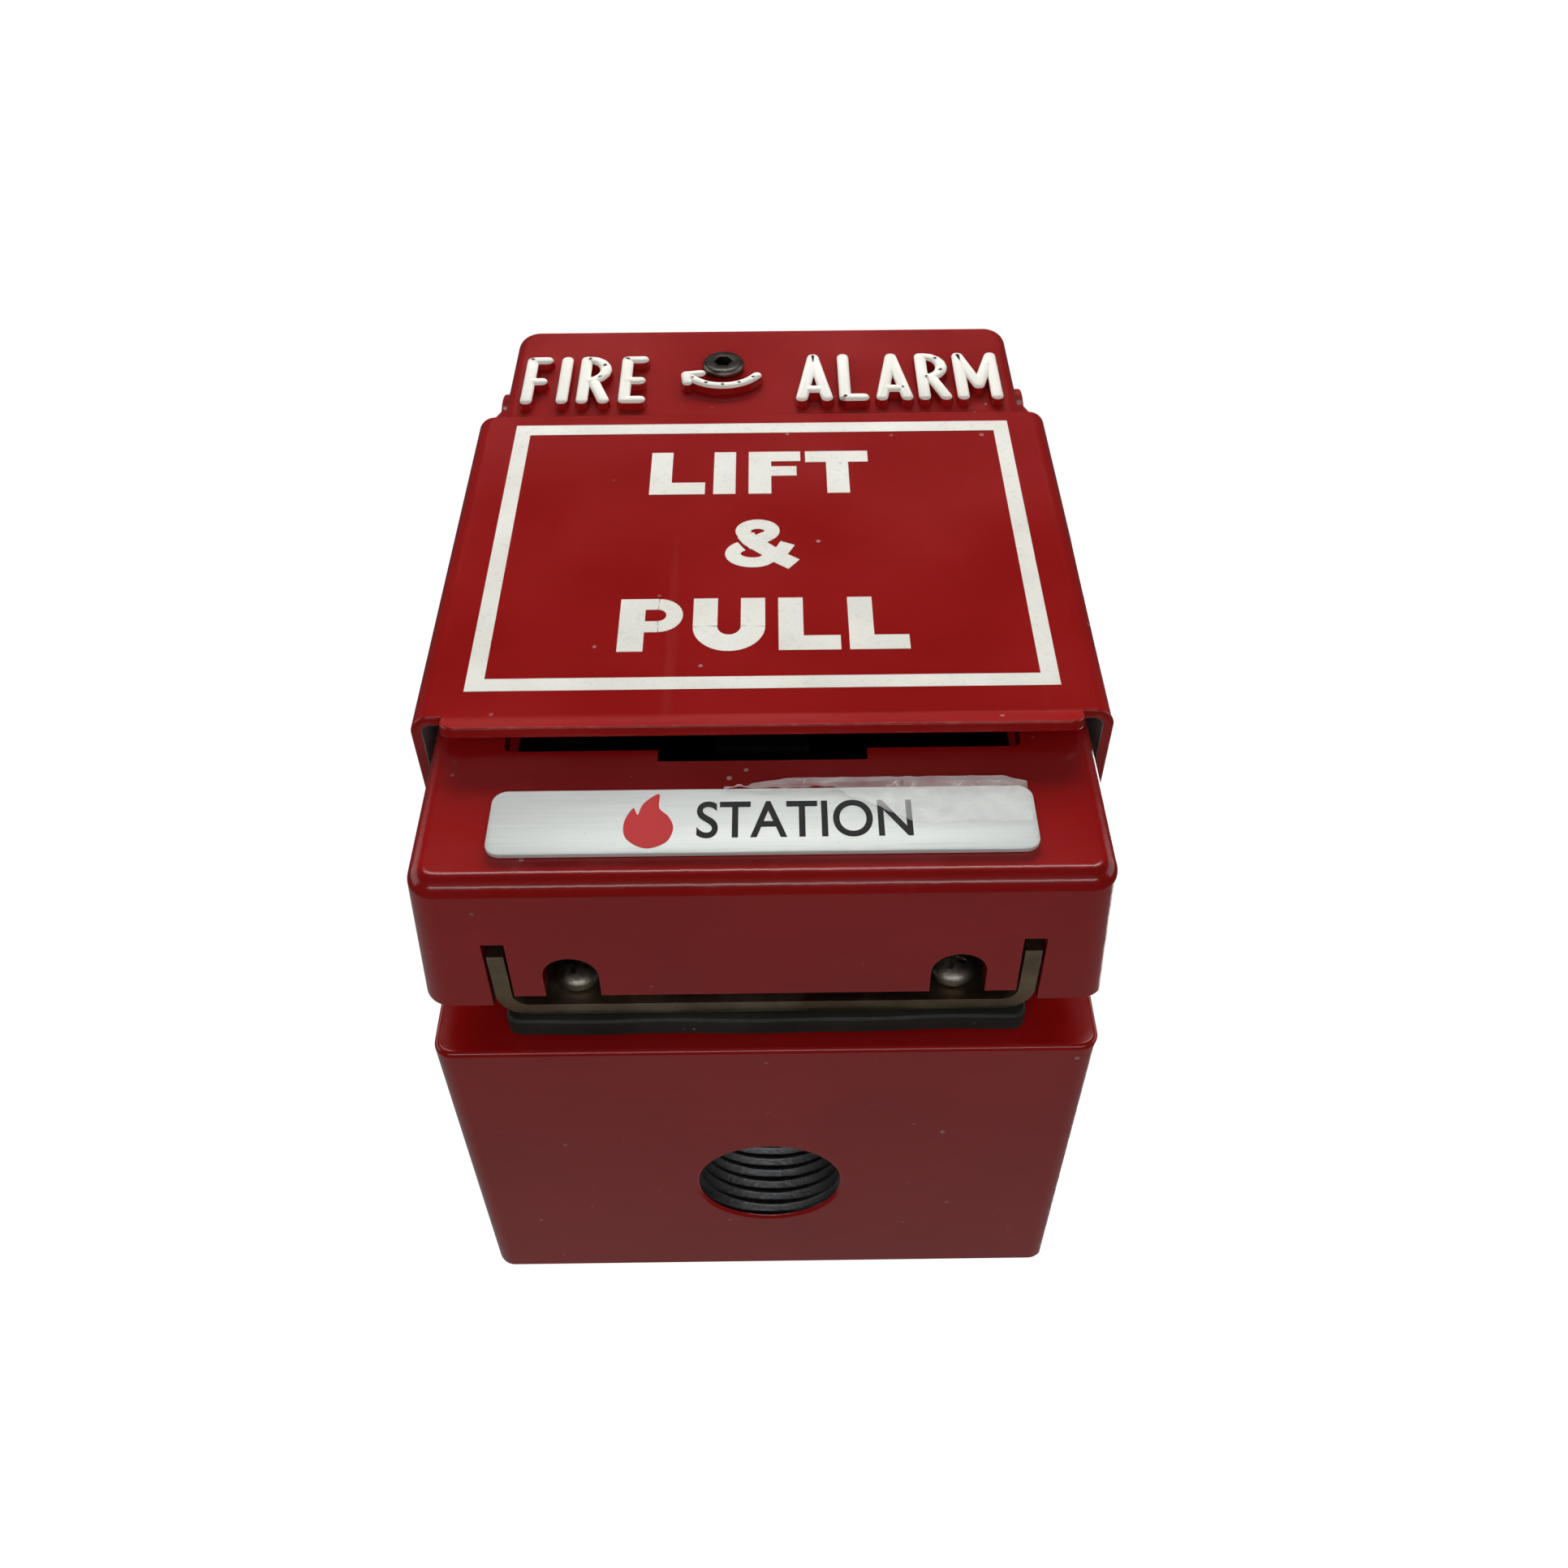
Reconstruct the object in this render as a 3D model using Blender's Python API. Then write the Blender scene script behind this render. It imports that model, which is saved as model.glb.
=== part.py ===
"""Dual-action manual fire alarm box: a cast front cover with a lift-up door, on a deep surface back box.

Metres, +Z up, +X right, +Y into the wall. The origin is the centre of the back box's rear face, on the wall.
Heights along Z are given above the lower edge of the front cover, and depths behind its front face.
"""

from math import atan2, cos, pi, radians, sin

import bmesh
import bpy
from mathutils import Matrix, Vector

# Overall sizes. The box follows the cover: a little narrower, and standing out past its ends
COVER_WIDTH = 0.08255
COVER_HEIGHT = 0.12065
COVER_DEPTH = 0.0220
BOX_DEPTH = 0.05715
BOX_WIDTH = COVER_WIDTH - 0.00055
BOX_HEIGHT = COVER_HEIGHT + 0.00575

# Clearances
GAP = 0.0003
SWING_GAP = 0.0004
LABEL_GAP = 0.0001

# Back box casting
BOX_WALL = 0.0030
BOX_RIM = 0.0040
BOX_CORNER = 0.0025
RIM_MARGIN = 0.0060
CONDUIT_RADIUS = 0.0096
CONDUIT_HUB_WALL = 0.0040
CONDUIT_HUB_HEIGHT = 0.0110
CONDUIT_BACK = 0.0240
BOSS_RADIUS = 0.0046
BOSS_LENGTH = 0.0140
WALL_HOLE_RADIUS = 0.0026
WALL_HOLE_X = BOX_WIDTH / 2 - 0.0150
WALL_HOLE_Z = BOX_HEIGHT / 2 - 0.0192

# Gasket and chassis
CHASSIS_SHEET = 0.0020
CHASSIS_WIDTH = COVER_WIDTH - 0.01775
CHASSIS_BEND = 0.0040
CHASSIS_INSET = 0.0005
FLANGE_REACH = 0.0096
FLANGE_TOP = COVER_HEIGHT - 0.02065
GASKET_THICKNESS = 0.0030
GASKET_WIDTH = CHASSIS_WIDTH - 0.0012
GASKET_INSET = 0.0005
GASKET_CORNER = 0.0030
WIRE_WINDOW_WIDTH = 0.0300
WIRE_WINDOW_HIGH = COVER_HEIGHT - 0.04665
WIRE_WINDOW_LOW = WIRE_WINDOW_HIGH - 0.0260

# Screws
SCREW_X = CHASSIS_WIDTH / 2 - 0.0095
SCREW_LOW = 0.0050
SCREW_HIGH = COVER_HEIGHT - 0.00865
SCREW_SHANK = 0.0019
SCREW_HEAD = 0.0029
SCREW_HEAD_HEIGHT = 0.0022
SCREW_LENGTH = 0.0160
SMALL_SHANK = 0.0014
SMALL_HEAD = 0.0026
SMALL_HEAD_HEIGHT = 0.0017

# Front cover casting
COVER_WALL = 0.0026
COVER_CORNER = 0.0035
COVER_FILLET = 0.0022
SIDE_DRAFT = 0.062
END_DRAFT = 0.030
WINDOW_WIDTH = COVER_WIDTH - 0.02055
WINDOW_LOW = 0.0214
WINDOW_HIGH = COVER_HEIGHT - 0.04465
NOTCH_WIDTH = 0.0250
NOTCH_LOW = 0.0195
SCREW_NOTCH_WIDTH = 0.0066
SCREW_NOTCH_FRONT = COVER_DEPTH - 0.0090
BOTTOM_RECESS = 0.0020
SLOT_AHEAD = 0.0025
SLOT_CORNER = 0.0010

# Cover hinge
HINGE_DEPTH = COVER_DEPTH - 0.0065
HINGE_Z = 0.0048
HINGE_PIN_RADIUS = 0.0016
HINGE_LUG = 0.0033
HINGE_PIN_TAIL = 0.0030
HINGE_OPEN = 90

# Lift-up door
DOOR_SHEET = 0.0014
DOOR_GAP = 0.0005
DOOR_BOTTOM = 0.0254
DOOR_TOP = COVER_HEIGHT - 0.02985
DOOR_BEND = 0.0020
DOOR_FLANGE_REAR = COVER_DEPTH - 0.0030
DOOR_SIDE_GAP = 0.0004
DOOR_PIN_DEPTH = 0.0135
DOOR_PIN_Z = COVER_HEIGHT - 0.01015
DOOR_PIN_RADIUS = 0.0018
DOOR_PIN_BOSS = 0.0040
DOOR_PIN_LENGTH = 0.0085
EAR_RADIUS = 0.0060
EAR_FRONT_LOW = 0.0027
EAR_FRONT_DEPTH = 0.0090
EAR_FRONT_HIGH = 0.0210
LIP_WIDTH = COVER_WIDTH - 0.0050
LIP_DROP = 0.0034
LIP_FLARE = 0.0014
LIP_CORNER = 0.0022

# Pull handle
HANDLE_PIVOT_DEPTH = 0.0060
HANDLE_PIVOT_Z = 0.0145
HANDLE_PIN_RADIUS = 0.0015
HANDLE_BARREL = 0.0030
HANDLE_THICKNESS = 0.0030
HANDLE_FRONT = 0.0008
STEM_WIDTH = 0.0112
STEM_LINK = 0.0022
NECK_LOW = 0.0226
BAR_WIDTH = WINDOW_WIDTH - 0.0040
BAR_HIGH = WINDOW_HIGH - 0.0100
BAR_LOW = BAR_HIGH - 0.0220
TRIP_ARM_LENGTH = COVER_DEPTH - 0.0140
TRIP_ARM_HEIGHT = 0.0024
HANDLE_LUG = 0.0038

# Toggle switch
SWITCH_ABOVE_PIVOT = 0.0080
SWITCH_WIDTH = 0.0130
SWITCH_HEIGHT = 0.0200
SWITCH_DEPTH = 0.0180
BUSHING_RADIUS = 0.0059
BUSHING_PLATE = 0.0012
BUSHING_FRONT = COVER_DEPTH - 0.0052
BUSHING_MOUTH = 0.0044
TOGGLE_PIVOT_DEPTH = COVER_DEPTH - 0.0030
TOGGLE_LENGTH = 0.0095
TOGGLE_TIP_RADIUS = 0.0021
TOGGLE_ROOT_RADIUS = 0.0013
TOGGLE_HALF_THROW = 12.5
NUT_HEIGHT = 0.0022
NUT_WALL = 0.0019
TERMINAL_WIDTH = 0.0040
TERMINAL_SHEET = 0.0010
TERMINAL_LENGTH = 0.0065
TERMINAL_SPREAD = 0.0060
LEAD_RADIUS = 0.0011

# Terminal block and earth screw
BLOCK_WIDTH = 0.0460
BLOCK_HEIGHT = 0.0120
BLOCK_DEPTH = 0.0080
BLOCK_LOW = WIRE_WINDOW_HIGH + 0.0060
BLOCK_POLES = 4
BLOCK_PITCH = 0.0080
BLOCK_WELL = 0.0030
BLOCK_EAR_HOLE = 0.0020
EARTH_X = CHASSIS_WIDTH / 2 - 0.0100
EARTH_Z = WIRE_WINDOW_HIGH - 0.0120

# Cover lock and its catch
LOCK_X = -0.0061
LOCK_Z = COVER_HEIGHT - 0.01385
LOCK_HEAD = 0.0033
LOCK_HEAD_HEIGHT = 0.0012
LOCK_SHANK = 0.0024
LOCK_SOCKET = 0.0012
CAM_DEPTH = COVER_DEPTH - 0.0060
CAM_SHEET = 0.0015
CAM_LENGTH = 0.0072
CAM_WIDTH = 0.0062
LOCK_NUT_WALL = 0.0018
LOCK_NUT_HEIGHT = 0.0018
CATCH_WIDTH = 0.0100
CATCH_SHEET = 0.0015
CATCH_TOP = LOCK_Z + 0.0096
CATCH_LOW = LOCK_Z + 0.0044
CATCH_GAP = 0.0008

# Nameplate
PLATE_WIDTH = COVER_WIDTH - 0.02005
PLATE_HEIGHT = 0.0098
PLATE_LOW = 0.0046
PLATE_SHEET = 0.0005
PLATE_CORNER = 0.0018

# Depths of the stack, each behind the cover's front face, and where that face and edge stand
WEB_FRONT = COVER_DEPTH + SWING_GAP
WEB_REAR = WEB_FRONT + CHASSIS_SHEET
GASKET_FRONT = WEB_REAR + GAP
GASKET_REAR = GASKET_FRONT + GASKET_THICKNESS
BOX_FRONT = GASKET_REAR + GAP
BOX_BACK = BOX_FRONT + BOX_DEPTH
COVER_BASE = -COVER_HEIGHT / 2
SWITCH_Z = HANDLE_PIVOT_Z + SWITCH_ABOVE_PIVOT
DOOR_INNER = COVER_WIDTH / 2 - SIDE_DRAFT * (COVER_DEPTH - DOOR_FLANGE_REAR) + DOOR_SIDE_GAP
DOOR_OUTER = DOOR_INNER + DOOR_SHEET
HANDLE_PIN_REACH = STEM_WIDTH / 2 + SWING_GAP + HANDLE_LUG - GAP


def y_at(depth):
    """World Y of a depth behind the cover's front face."""
    return depth - BOX_BACK


def z_at(height):
    """World Z of a height above the cover's lower edge."""
    return COVER_BASE + height


def place(x, depth, height):
    return Vector((x, y_at(depth), z_at(height)))


def clear_scene():
    for obj in list(bpy.data.objects):
        bpy.data.objects.remove(obj, do_unlink=True)


def finish(name, color, roughness, metallic=0.0):
    """A Principled material with a linear colour."""
    material = bpy.data.materials.new(name)
    material.use_nodes = True
    shader = material.node_tree.nodes["Principled BSDF"]
    shader.inputs["Base Color"].default_value = (*color, 1.0)
    shader.inputs["Roughness"].default_value = roughness
    shader.inputs["Metallic"].default_value = metallic
    return material


def add_object(name, bm, material=None, smooth=True):
    """Closes a bmesh into an object of the scene, with its faces pointing out."""
    bmesh.ops.recalc_face_normals(bm, faces=bm.faces)
    mesh = bpy.data.meshes.new(name)
    bm.to_mesh(mesh)
    bm.free()
    if material:
        mesh.materials.append(material)
    if smooth:
        mesh.shade_smooth()
        mesh.set_sharp_from_angle(angle=radians(35))
    obj = bpy.data.objects.new(name, mesh)
    bpy.context.scene.collection.objects.link(obj)
    return obj


def helper(obj):
    """Marks an object as a tool of a Boolean, which is not a piece of its own."""
    obj.hide_render = True
    obj.display_type = "WIRE"
    return obj


def boolean(target, tool, operation="DIFFERENCE"):
    modifier = target.modifiers.new(f"{operation.title()} {tool.name}", "BOOLEAN")
    modifier.operation = operation
    modifier.solver = "EXACT"
    modifier.object = helper(tool)
    return target


def cut(target, *tools):
    for tool in tools:
        boolean(target, tool)
    return target


def add(target, *tools):
    for tool in tools:
        boolean(target, tool, "UNION")
    return target


def block(name, low, high, material=None):
    """A box between two corners."""
    bm = bmesh.new()
    size = high - low
    middle = Matrix.Translation((low + high) / 2)
    bmesh.ops.create_cube(bm, size=1, matrix=middle @ Matrix.Diagonal((*size, 1)))
    return add_object(name, bm, material, smooth=False)


def block_between(name, x, depth, height, material=None):
    """A box from its ranges in X, in depth behind the cover's face and in height above its lower edge."""
    return block(name, place(x[0], depth[0], height[0]), place(x[1], depth[1], height[1]), material)


def rod(name, start, end, radius, material=None, sides=24):
    """A round bar between two points."""
    bm = bmesh.new()
    run = end - start
    turn = run.to_track_quat("Z", "Y").to_matrix().to_4x4()
    bmesh.ops.create_cone(
        bm, cap_ends=True, segments=sides, radius1=radius, radius2=radius, depth=run.length,
        matrix=Matrix.Translation((start + end) / 2) @ turn,
    )
    return add_object(name, bm, material)


def turned(name, centre, axis, profile, material=None, sides=32):
    """A turned piece: the profile holds (distance along the axis, radius), and both ends are closed."""
    bm = bmesh.new()
    turn = Matrix.Translation(centre) @ axis.to_track_quat("Z", "Y").to_matrix().to_4x4()
    rings = []
    for along, radius in profile:
        points = [(radius * cos(2 * pi * i / sides), radius * sin(2 * pi * i / sides)) for i in range(sides)]
        rings.append([bm.verts.new(turn @ Vector((px, py, along))) for px, py in points])
    for lower, upper in zip(rings, rings[1:]):
        for i in range(sides):
            j = (i + 1) % sides
            bm.faces.new((lower[i], lower[j], upper[j], upper[i]))
    bm.faces.new(rings[0])
    bm.faces.new(rings[-1])
    return add_object(name, bm, material)


def rounded_outline(width, height, corner, steps=5):
    """Points of a rectangle with round corners, centred on the origin, in (x, z)."""
    points = []
    for quarter, (sx, sz) in enumerate(((1, 1), (-1, 1), (-1, -1), (1, -1))):
        cx = sx * (width / 2 - corner)
        cz = sz * (height / 2 - corner)
        for step in range(steps + 1):
            angle = pi / 2 * (quarter + step / steps)
            points.append((cx + corner * cos(angle), cz + corner * sin(angle)))
    return points


def rounded_block(name, size, corner, y_range, centre_z, material=None, centre_x=0.0):
    """A plate or block with its four corner edges rounded, its corners running along Y."""
    bm = bmesh.new()
    outline = rounded_outline(size[0], size[1], corner)
    rings = [[bm.verts.new((centre_x + x, y, centre_z + z)) for x, z in outline] for y in y_range]
    bm.faces.new(rings[0])
    bm.faces.new(rings[1])
    for i in range(len(outline)):
        j = (i + 1) % len(outline)
        bm.faces.new((rings[0][i], rings[0][j], rings[1][j], rings[1][i]))
    return add_object(name, bm, material)


def extruded(name, outline, axis, low, high, material=None):
    """A solid with a flat outline, pushed along X (outline in depth, height) or along Z (outline in x, depth)."""
    bm = bmesh.new()
    if axis == "X":
        ring = [bm.verts.new(place(low, depth, height)) for depth, height in outline]
        push = Vector((high - low, 0, 0))
    else:
        ring = [bm.verts.new(place(x, depth, low)) for x, depth in outline]
        push = Vector((0, 0, high - low))
    face = bm.faces.new(ring)
    grown = bmesh.ops.extrude_face_region(bm, geom=[face])
    moved = [item for item in grown["geom"] if isinstance(item, bmesh.types.BMVert)]
    bmesh.ops.translate(bm, verts=moved, vec=push)
    return add_object(name, bm, material)


def arc(centre, radius, start, end, steps=6):
    """Points of an arc in its own plane, angles in degrees."""
    angles = [radians(start + (end - start) * i / steps) for i in range(steps + 1)]
    return [(centre[0] + radius * cos(a), centre[1] + radius * sin(a)) for a in angles]


def pan_screw(name, x, height, head_depth, shank, head, head_height, length, material, sides=24):
    """A pan-head screw driven along +Y. head_depth is where the underside of its head seats."""
    crown = head_height * 0.35
    profile = [
        (-head_height, head * 0.60), (-head_height + crown * 0.4, head * 0.86), (-head_height + crown, head),
        (0, head), (0, shank), (length, shank),
    ]
    screw = turned(name, place(x, head_depth, height), Vector((0, 1, 0)), profile, material, sides)
    slot_width = head * 0.28
    slot_length = head * 1.05
    for mark, (half_x, half_z) in enumerate(((slot_length / 2, slot_width / 2), (slot_width / 2, slot_length / 2))):
        cut(screw, block_between(
            f"{name}_recess_{mark}", (x - half_x, x + half_x),
            (head_depth - head_height * 1.5, head_depth - head_height * 0.45),
            (height - half_z, height + half_z),
        ))
    return screw


def hexagon(name, centre, axis, hole, wall, thickness, material):
    """A hexagon nut with a plain hole."""
    nut = turned(name, centre, axis, [(0, hole + wall), (thickness, hole + wall)], material, sides=6)
    nut.data.shade_flat()
    bore = turned(f"{name}_bore", centre - axis * thickness, axis, [(0, hole), (3 * thickness, hole)], sides=24)
    return cut(nut, bore)


clear_scene()

RED_ENAMEL = finish("red enamel", (0.26, 0.010, 0.010), 0.22)
BARE_ZINC = finish("zinc plated steel", (0.55, 0.55, 0.52), 0.35, 1.0)
DARK_STEEL = finish("dark steel", (0.10, 0.10, 0.10), 0.40, 1.0)
BLACK_RUBBER = finish("black rubber", (0.02, 0.02, 0.02), 0.75)
BLACK_PHENOLIC = finish("black phenolic", (0.03, 0.03, 0.03), 0.45)
BRASS = finish("brass", (0.60, 0.42, 0.16), 0.35, 1.0)
BRUSHED_ALUMINIUM = finish("brushed aluminium", (0.60, 0.61, 0.61), 0.35, 1.0)
CAST_GREY = finish("cast grey zinc", (0.42, 0.42, 0.42), 0.50, 1.0)
GREEN_DYE = finish("green steel", (0.03, 0.25, 0.08), 0.40, 0.6)
RED_WIRE = finish("red wire", (0.45, 0.02, 0.02), 0.45)
BLACK_WIRE = finish("black wire", (0.02, 0.02, 0.02), 0.45)

SCREW_PLACES = [
    (side * SCREW_X, height) for height in (SCREW_LOW, SCREW_HIGH) for side in (-1, 1)
]
MOUTH_LOW = SCREW_LOW + RIM_MARGIN
MOUTH_HIGH = SCREW_HIGH - RIM_MARGIN
MOUTH_WIDTH = GASKET_WIDTH - 2 * RIM_MARGIN + 0.004
MOUTH_HEIGHT = MOUTH_HIGH - MOUTH_LOW
MOUTH_MIDDLE = z_at((MOUTH_LOW + MOUTH_HIGH) / 2)


def back_box():
    """The deep box on the wall: rounded outside, hollow, with a rim, four screw bosses and a conduit hub."""
    front = y_at(BOX_FRONT)
    box = rounded_block("back_box", (BOX_WIDTH, BOX_HEIGHT), BOX_CORNER, (front, 0.0), 0.0, RED_ENAMEL)
    room = block(
        "box_room",
        Vector((-BOX_WIDTH / 2 + BOX_WALL, front + BOX_RIM, -BOX_HEIGHT / 2 + BOX_WALL)),
        Vector((BOX_WIDTH / 2 - BOX_WALL, -BOX_WALL, BOX_HEIGHT / 2 - BOX_WALL)),
    )
    mouth = rounded_block(
        "box_mouth", (MOUTH_WIDTH, MOUTH_HEIGHT), GASKET_CORNER, (front - BOX_RIM, front + 2 * BOX_RIM), MOUTH_MIDDLE
    )
    cut(box, room, mouth)
    for mark, (x, height) in enumerate(SCREW_PLACES):
        start = place(x, BOX_FRONT + BOX_RIM / 2, height)
        add(box, rod(f"box_boss_{mark}", start, start + Vector((0, BOSS_LENGTH, 0)), BOSS_RADIUS))
        entry = place(x, BOX_FRONT - BOX_RIM, height)
        depth = Vector((0, SCREW_LENGTH + BOX_RIM, 0))
        cut(box, rod(f"box_screw_hole_{mark}", entry, entry + depth, SCREW_SHANK + GAP, sides=16))
    hub_foot = Vector((0, -CONDUIT_BACK, -BOX_HEIGHT / 2 + BOX_WALL / 2))
    hub_top = hub_foot + Vector((0, 0, CONDUIT_HUB_HEIGHT))
    add(box, rod("conduit_hub", hub_foot, hub_top, CONDUIT_RADIUS + CONDUIT_HUB_WALL, sides=40))
    drill_foot = hub_foot - Vector((0, 0, BOX_WALL))
    drill_top = hub_top + Vector((0, 0, BOX_WALL))
    cut(box, rod("conduit_bore", drill_foot, drill_top, CONDUIT_RADIUS, sides=40))
    for mark, (sx, sz) in enumerate(((-1, -1), (1, -1), (-1, 1), (1, 1))):
        inside = Vector((sx * WALL_HOLE_X, -2 * BOX_WALL, sz * WALL_HOLE_Z))
        outside = inside + Vector((0, 3 * BOX_WALL, 0))
        cut(box, rod(f"wall_hole_{mark}", inside, outside, WALL_HOLE_RADIUS, sides=16))
    return box


def box_gasket():
    """The flat rubber gasket between the chassis and the rim of the box."""
    height = COVER_HEIGHT - 2 * GASKET_INSET
    faces = (y_at(GASKET_FRONT), y_at(GASKET_REAR))
    gasket = rounded_block("box_gasket", (GASKET_WIDTH, height), GASKET_CORNER, faces, 0.0, BLACK_RUBBER)
    opening = rounded_block(
        "gasket_opening", (MOUTH_WIDTH, MOUTH_HEIGHT), GASKET_CORNER,
        (faces[0] - GASKET_THICKNESS, faces[1] + GASKET_THICKNESS), MOUTH_MIDDLE,
    )
    cut(gasket, opening)
    for mark, (x, height) in enumerate(SCREW_PLACES):
        entry = place(x, GASKET_FRONT - GASKET_THICKNESS, height)
        depth = Vector((0, 3 * GASKET_THICKNESS, 0))
        cut(gasket, rod(f"gasket_screw_hole_{mark}", entry, entry + depth, SCREW_SHANK + GAP, sides=16))
    return gasket


def chassis():
    """The steel channel behind the cover: web, two flanges and the cover's hinge holes."""
    half = CHASSIS_WIDTH / 2
    tip = WEB_FRONT - FLANGE_REACH
    bend = CHASSIS_BEND
    inner = bend - CHASSIS_SHEET
    right = [(half, tip)] + arc((half - bend, WEB_REAR - bend), bend, 0, 90)
    right_inner = arc((half - bend, WEB_REAR - bend), inner, 90, 0) + [(half - CHASSIS_SHEET, tip)]
    left = [(-x, depth) for x, depth in reversed(right)]
    left_inner = [(-x, depth) for x, depth in reversed(right_inner)]
    outline = right + left + left_inner + right_inner
    channel = extruded(
        "chassis", outline, "Z", CHASSIS_INSET, COVER_HEIGHT - CHASSIS_INSET, BARE_ZINC
    )
    above = COVER_HEIGHT + CHASSIS_INSET
    cut(channel, block_between(
        "flange_top_cut", (-half - GAP, half + GAP), (tip - GAP, WEB_FRONT - 0.0002), (FLANGE_TOP, above)
    ))
    through = Vector((0, 3 * CHASSIS_SHEET, 0))
    for mark, (x, height) in enumerate(SCREW_PLACES):
        entry = place(x, WEB_FRONT - CHASSIS_SHEET, height)
        cut(channel, rod(f"chassis_screw_hole_{mark}", entry, entry + through, SCREW_SHANK + GAP, sides=16))
    entry = place(0, WEB_FRONT - CHASSIS_SHEET, SWITCH_Z)
    cut(channel, rod("switch_hole", entry, entry + through, BUSHING_RADIUS + GAP, sides=32))
    entry = place(EARTH_X, WEB_FRONT - CHASSIS_SHEET, EARTH_Z)
    cut(channel, rod("earth_hole", entry, entry + through, SMALL_SHANK + GAP, sides=16))
    for mark, x in enumerate(block_fixing_places()):
        entry = place(x, WEB_FRONT - CHASSIS_SHEET, BLOCK_LOW + BLOCK_HEIGHT / 2)
        cut(channel, rod(f"block_hole_{mark}", entry, entry + through, SMALL_SHANK + GAP, sides=16))
    cut(channel, block_between(
        "wire_window", (-WIRE_WINDOW_WIDTH / 2, WIRE_WINDOW_WIDTH / 2),
        (WEB_FRONT - CHASSIS_SHEET, WEB_REAR + CHASSIS_SHEET), (WIRE_WINDOW_LOW, WIRE_WINDOW_HIGH),
    ))
    for mark, side in enumerate((-1, 1)):
        start = place(side * (half - 3 * CHASSIS_SHEET), HINGE_DEPTH, HINGE_Z)
        end = place(side * (half + CHASSIS_SHEET), HINGE_DEPTH, HINGE_Z)
        cut(channel, rod(f"hinge_hole_{mark}", start, end, HINGE_PIN_RADIUS + GAP, sides=24))
    return channel


def lock_catch():
    """The bent bracket welded to the web, behind which the lock's cam turns."""
    front = CAM_DEPTH - CATCH_GAP - CATCH_SHEET
    foot = WEB_FRONT - GAP
    outline = [
        (front, CATCH_LOW), (front + CATCH_SHEET, CATCH_LOW), (front + CATCH_SHEET, CATCH_TOP - CATCH_SHEET),
        (foot, CATCH_TOP - CATCH_SHEET), (foot, CATCH_TOP), (front, CATCH_TOP),
    ]
    return extruded("lock_catch", outline, "X", LOCK_X - CATCH_WIDTH / 2, LOCK_X + CATCH_WIDTH / 2, BARE_ZINC)


def block_fixing_places():
    """X of the two screws that hold the terminal block, in its ears."""
    offset = BLOCK_WIDTH / 2 - BLOCK_EAR_HOLE - SMALL_HEAD / 2
    return (-offset, offset)


def chassis_screws():
    for mark, (x, height) in enumerate(SCREW_PLACES, start=1):
        pan_screw(
            f"chassis_screw_{mark}", x, height, WEB_FRONT - GAP, SCREW_SHANK, SCREW_HEAD, SCREW_HEAD_HEIGHT,
            SCREW_LENGTH, BARE_ZINC,
        )


def hinge_pins():
    """Two stub pins in the chassis flanges, on which the lugs of the cover turn."""
    half = CHASSIS_WIDTH / 2
    for name, side in (("hinge_pin_left", -1), ("hinge_pin_right", 1)):
        start = place(side * (half - CHASSIS_SHEET - HINGE_PIN_TAIL), HINGE_DEPTH, HINGE_Z)
        end = place(side * (half + HINGE_PIN_TAIL), HINGE_DEPTH, HINGE_Z)
        rod(name, start, end, HINGE_PIN_RADIUS, BARE_ZINC, sides=24)


def toggle_switch():
    """The switch behind the web, its bushing through the web, its nut, its two terminals and their leads."""
    plate_front = WEB_REAR + GAP
    body_front = plate_front + BUSHING_PLATE + GAP
    half_x = SWITCH_WIDTH / 2
    half_z = SWITCH_HEIGHT / 2
    block_between(
        "switch_body", (-half_x, half_x), (body_front, body_front + SWITCH_DEPTH),
        (SWITCH_Z - half_z, SWITCH_Z + half_z), BLACK_PHENOLIC,
    )
    bushing = block_between(
        "switch_bushing", (-half_x, half_x), (plate_front, plate_front + BUSHING_PLATE),
        (SWITCH_Z - half_z, SWITCH_Z + half_z), BARE_ZINC,
    )
    nose = place(0, BUSHING_FRONT, SWITCH_Z)
    seat = place(0, plate_front + BUSHING_PLATE / 2, SWITCH_Z)
    add(bushing, rod("bushing_barrel", nose, seat, BUSHING_RADIUS, sides=32))
    mouth_depth = TOGGLE_PIVOT_DEPTH + TOGGLE_ROOT_RADIUS + 2 * GAP - BUSHING_FRONT
    mouth = turned(
        "bushing_mouth", nose - Vector((0, GAP, 0)), Vector((0, 1, 0)),
        [(0, BUSHING_MOUTH), (mouth_depth + GAP, TOGGLE_ROOT_RADIUS + 2 * GAP)], sides=24,
    )
    cut(bushing, mouth)
    nut_back = place(0, WEB_FRONT - GAP - NUT_HEIGHT, SWITCH_Z)
    hexagon("switch_nut", nut_back, Vector((0, 1, 0)), BUSHING_RADIUS + GAP, NUT_WALL, NUT_HEIGHT, BARE_ZINC)
    lead_colors = (RED_WIRE, BLACK_WIRE)
    for mark, side in enumerate((-1, 1)):
        low = SWITCH_Z + side * TERMINAL_SPREAD - TERMINAL_SHEET / 2
        start = body_front + SWITCH_DEPTH + GAP
        block_between(
            f"switch_terminal_{mark + 1}", (-TERMINAL_WIDTH / 2, TERMINAL_WIDTH / 2),
            (start, start + TERMINAL_LENGTH), (low, low + TERMINAL_SHEET), BRASS,
        )
        switch_lead(mark, side, start, lead_colors[mark])


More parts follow.
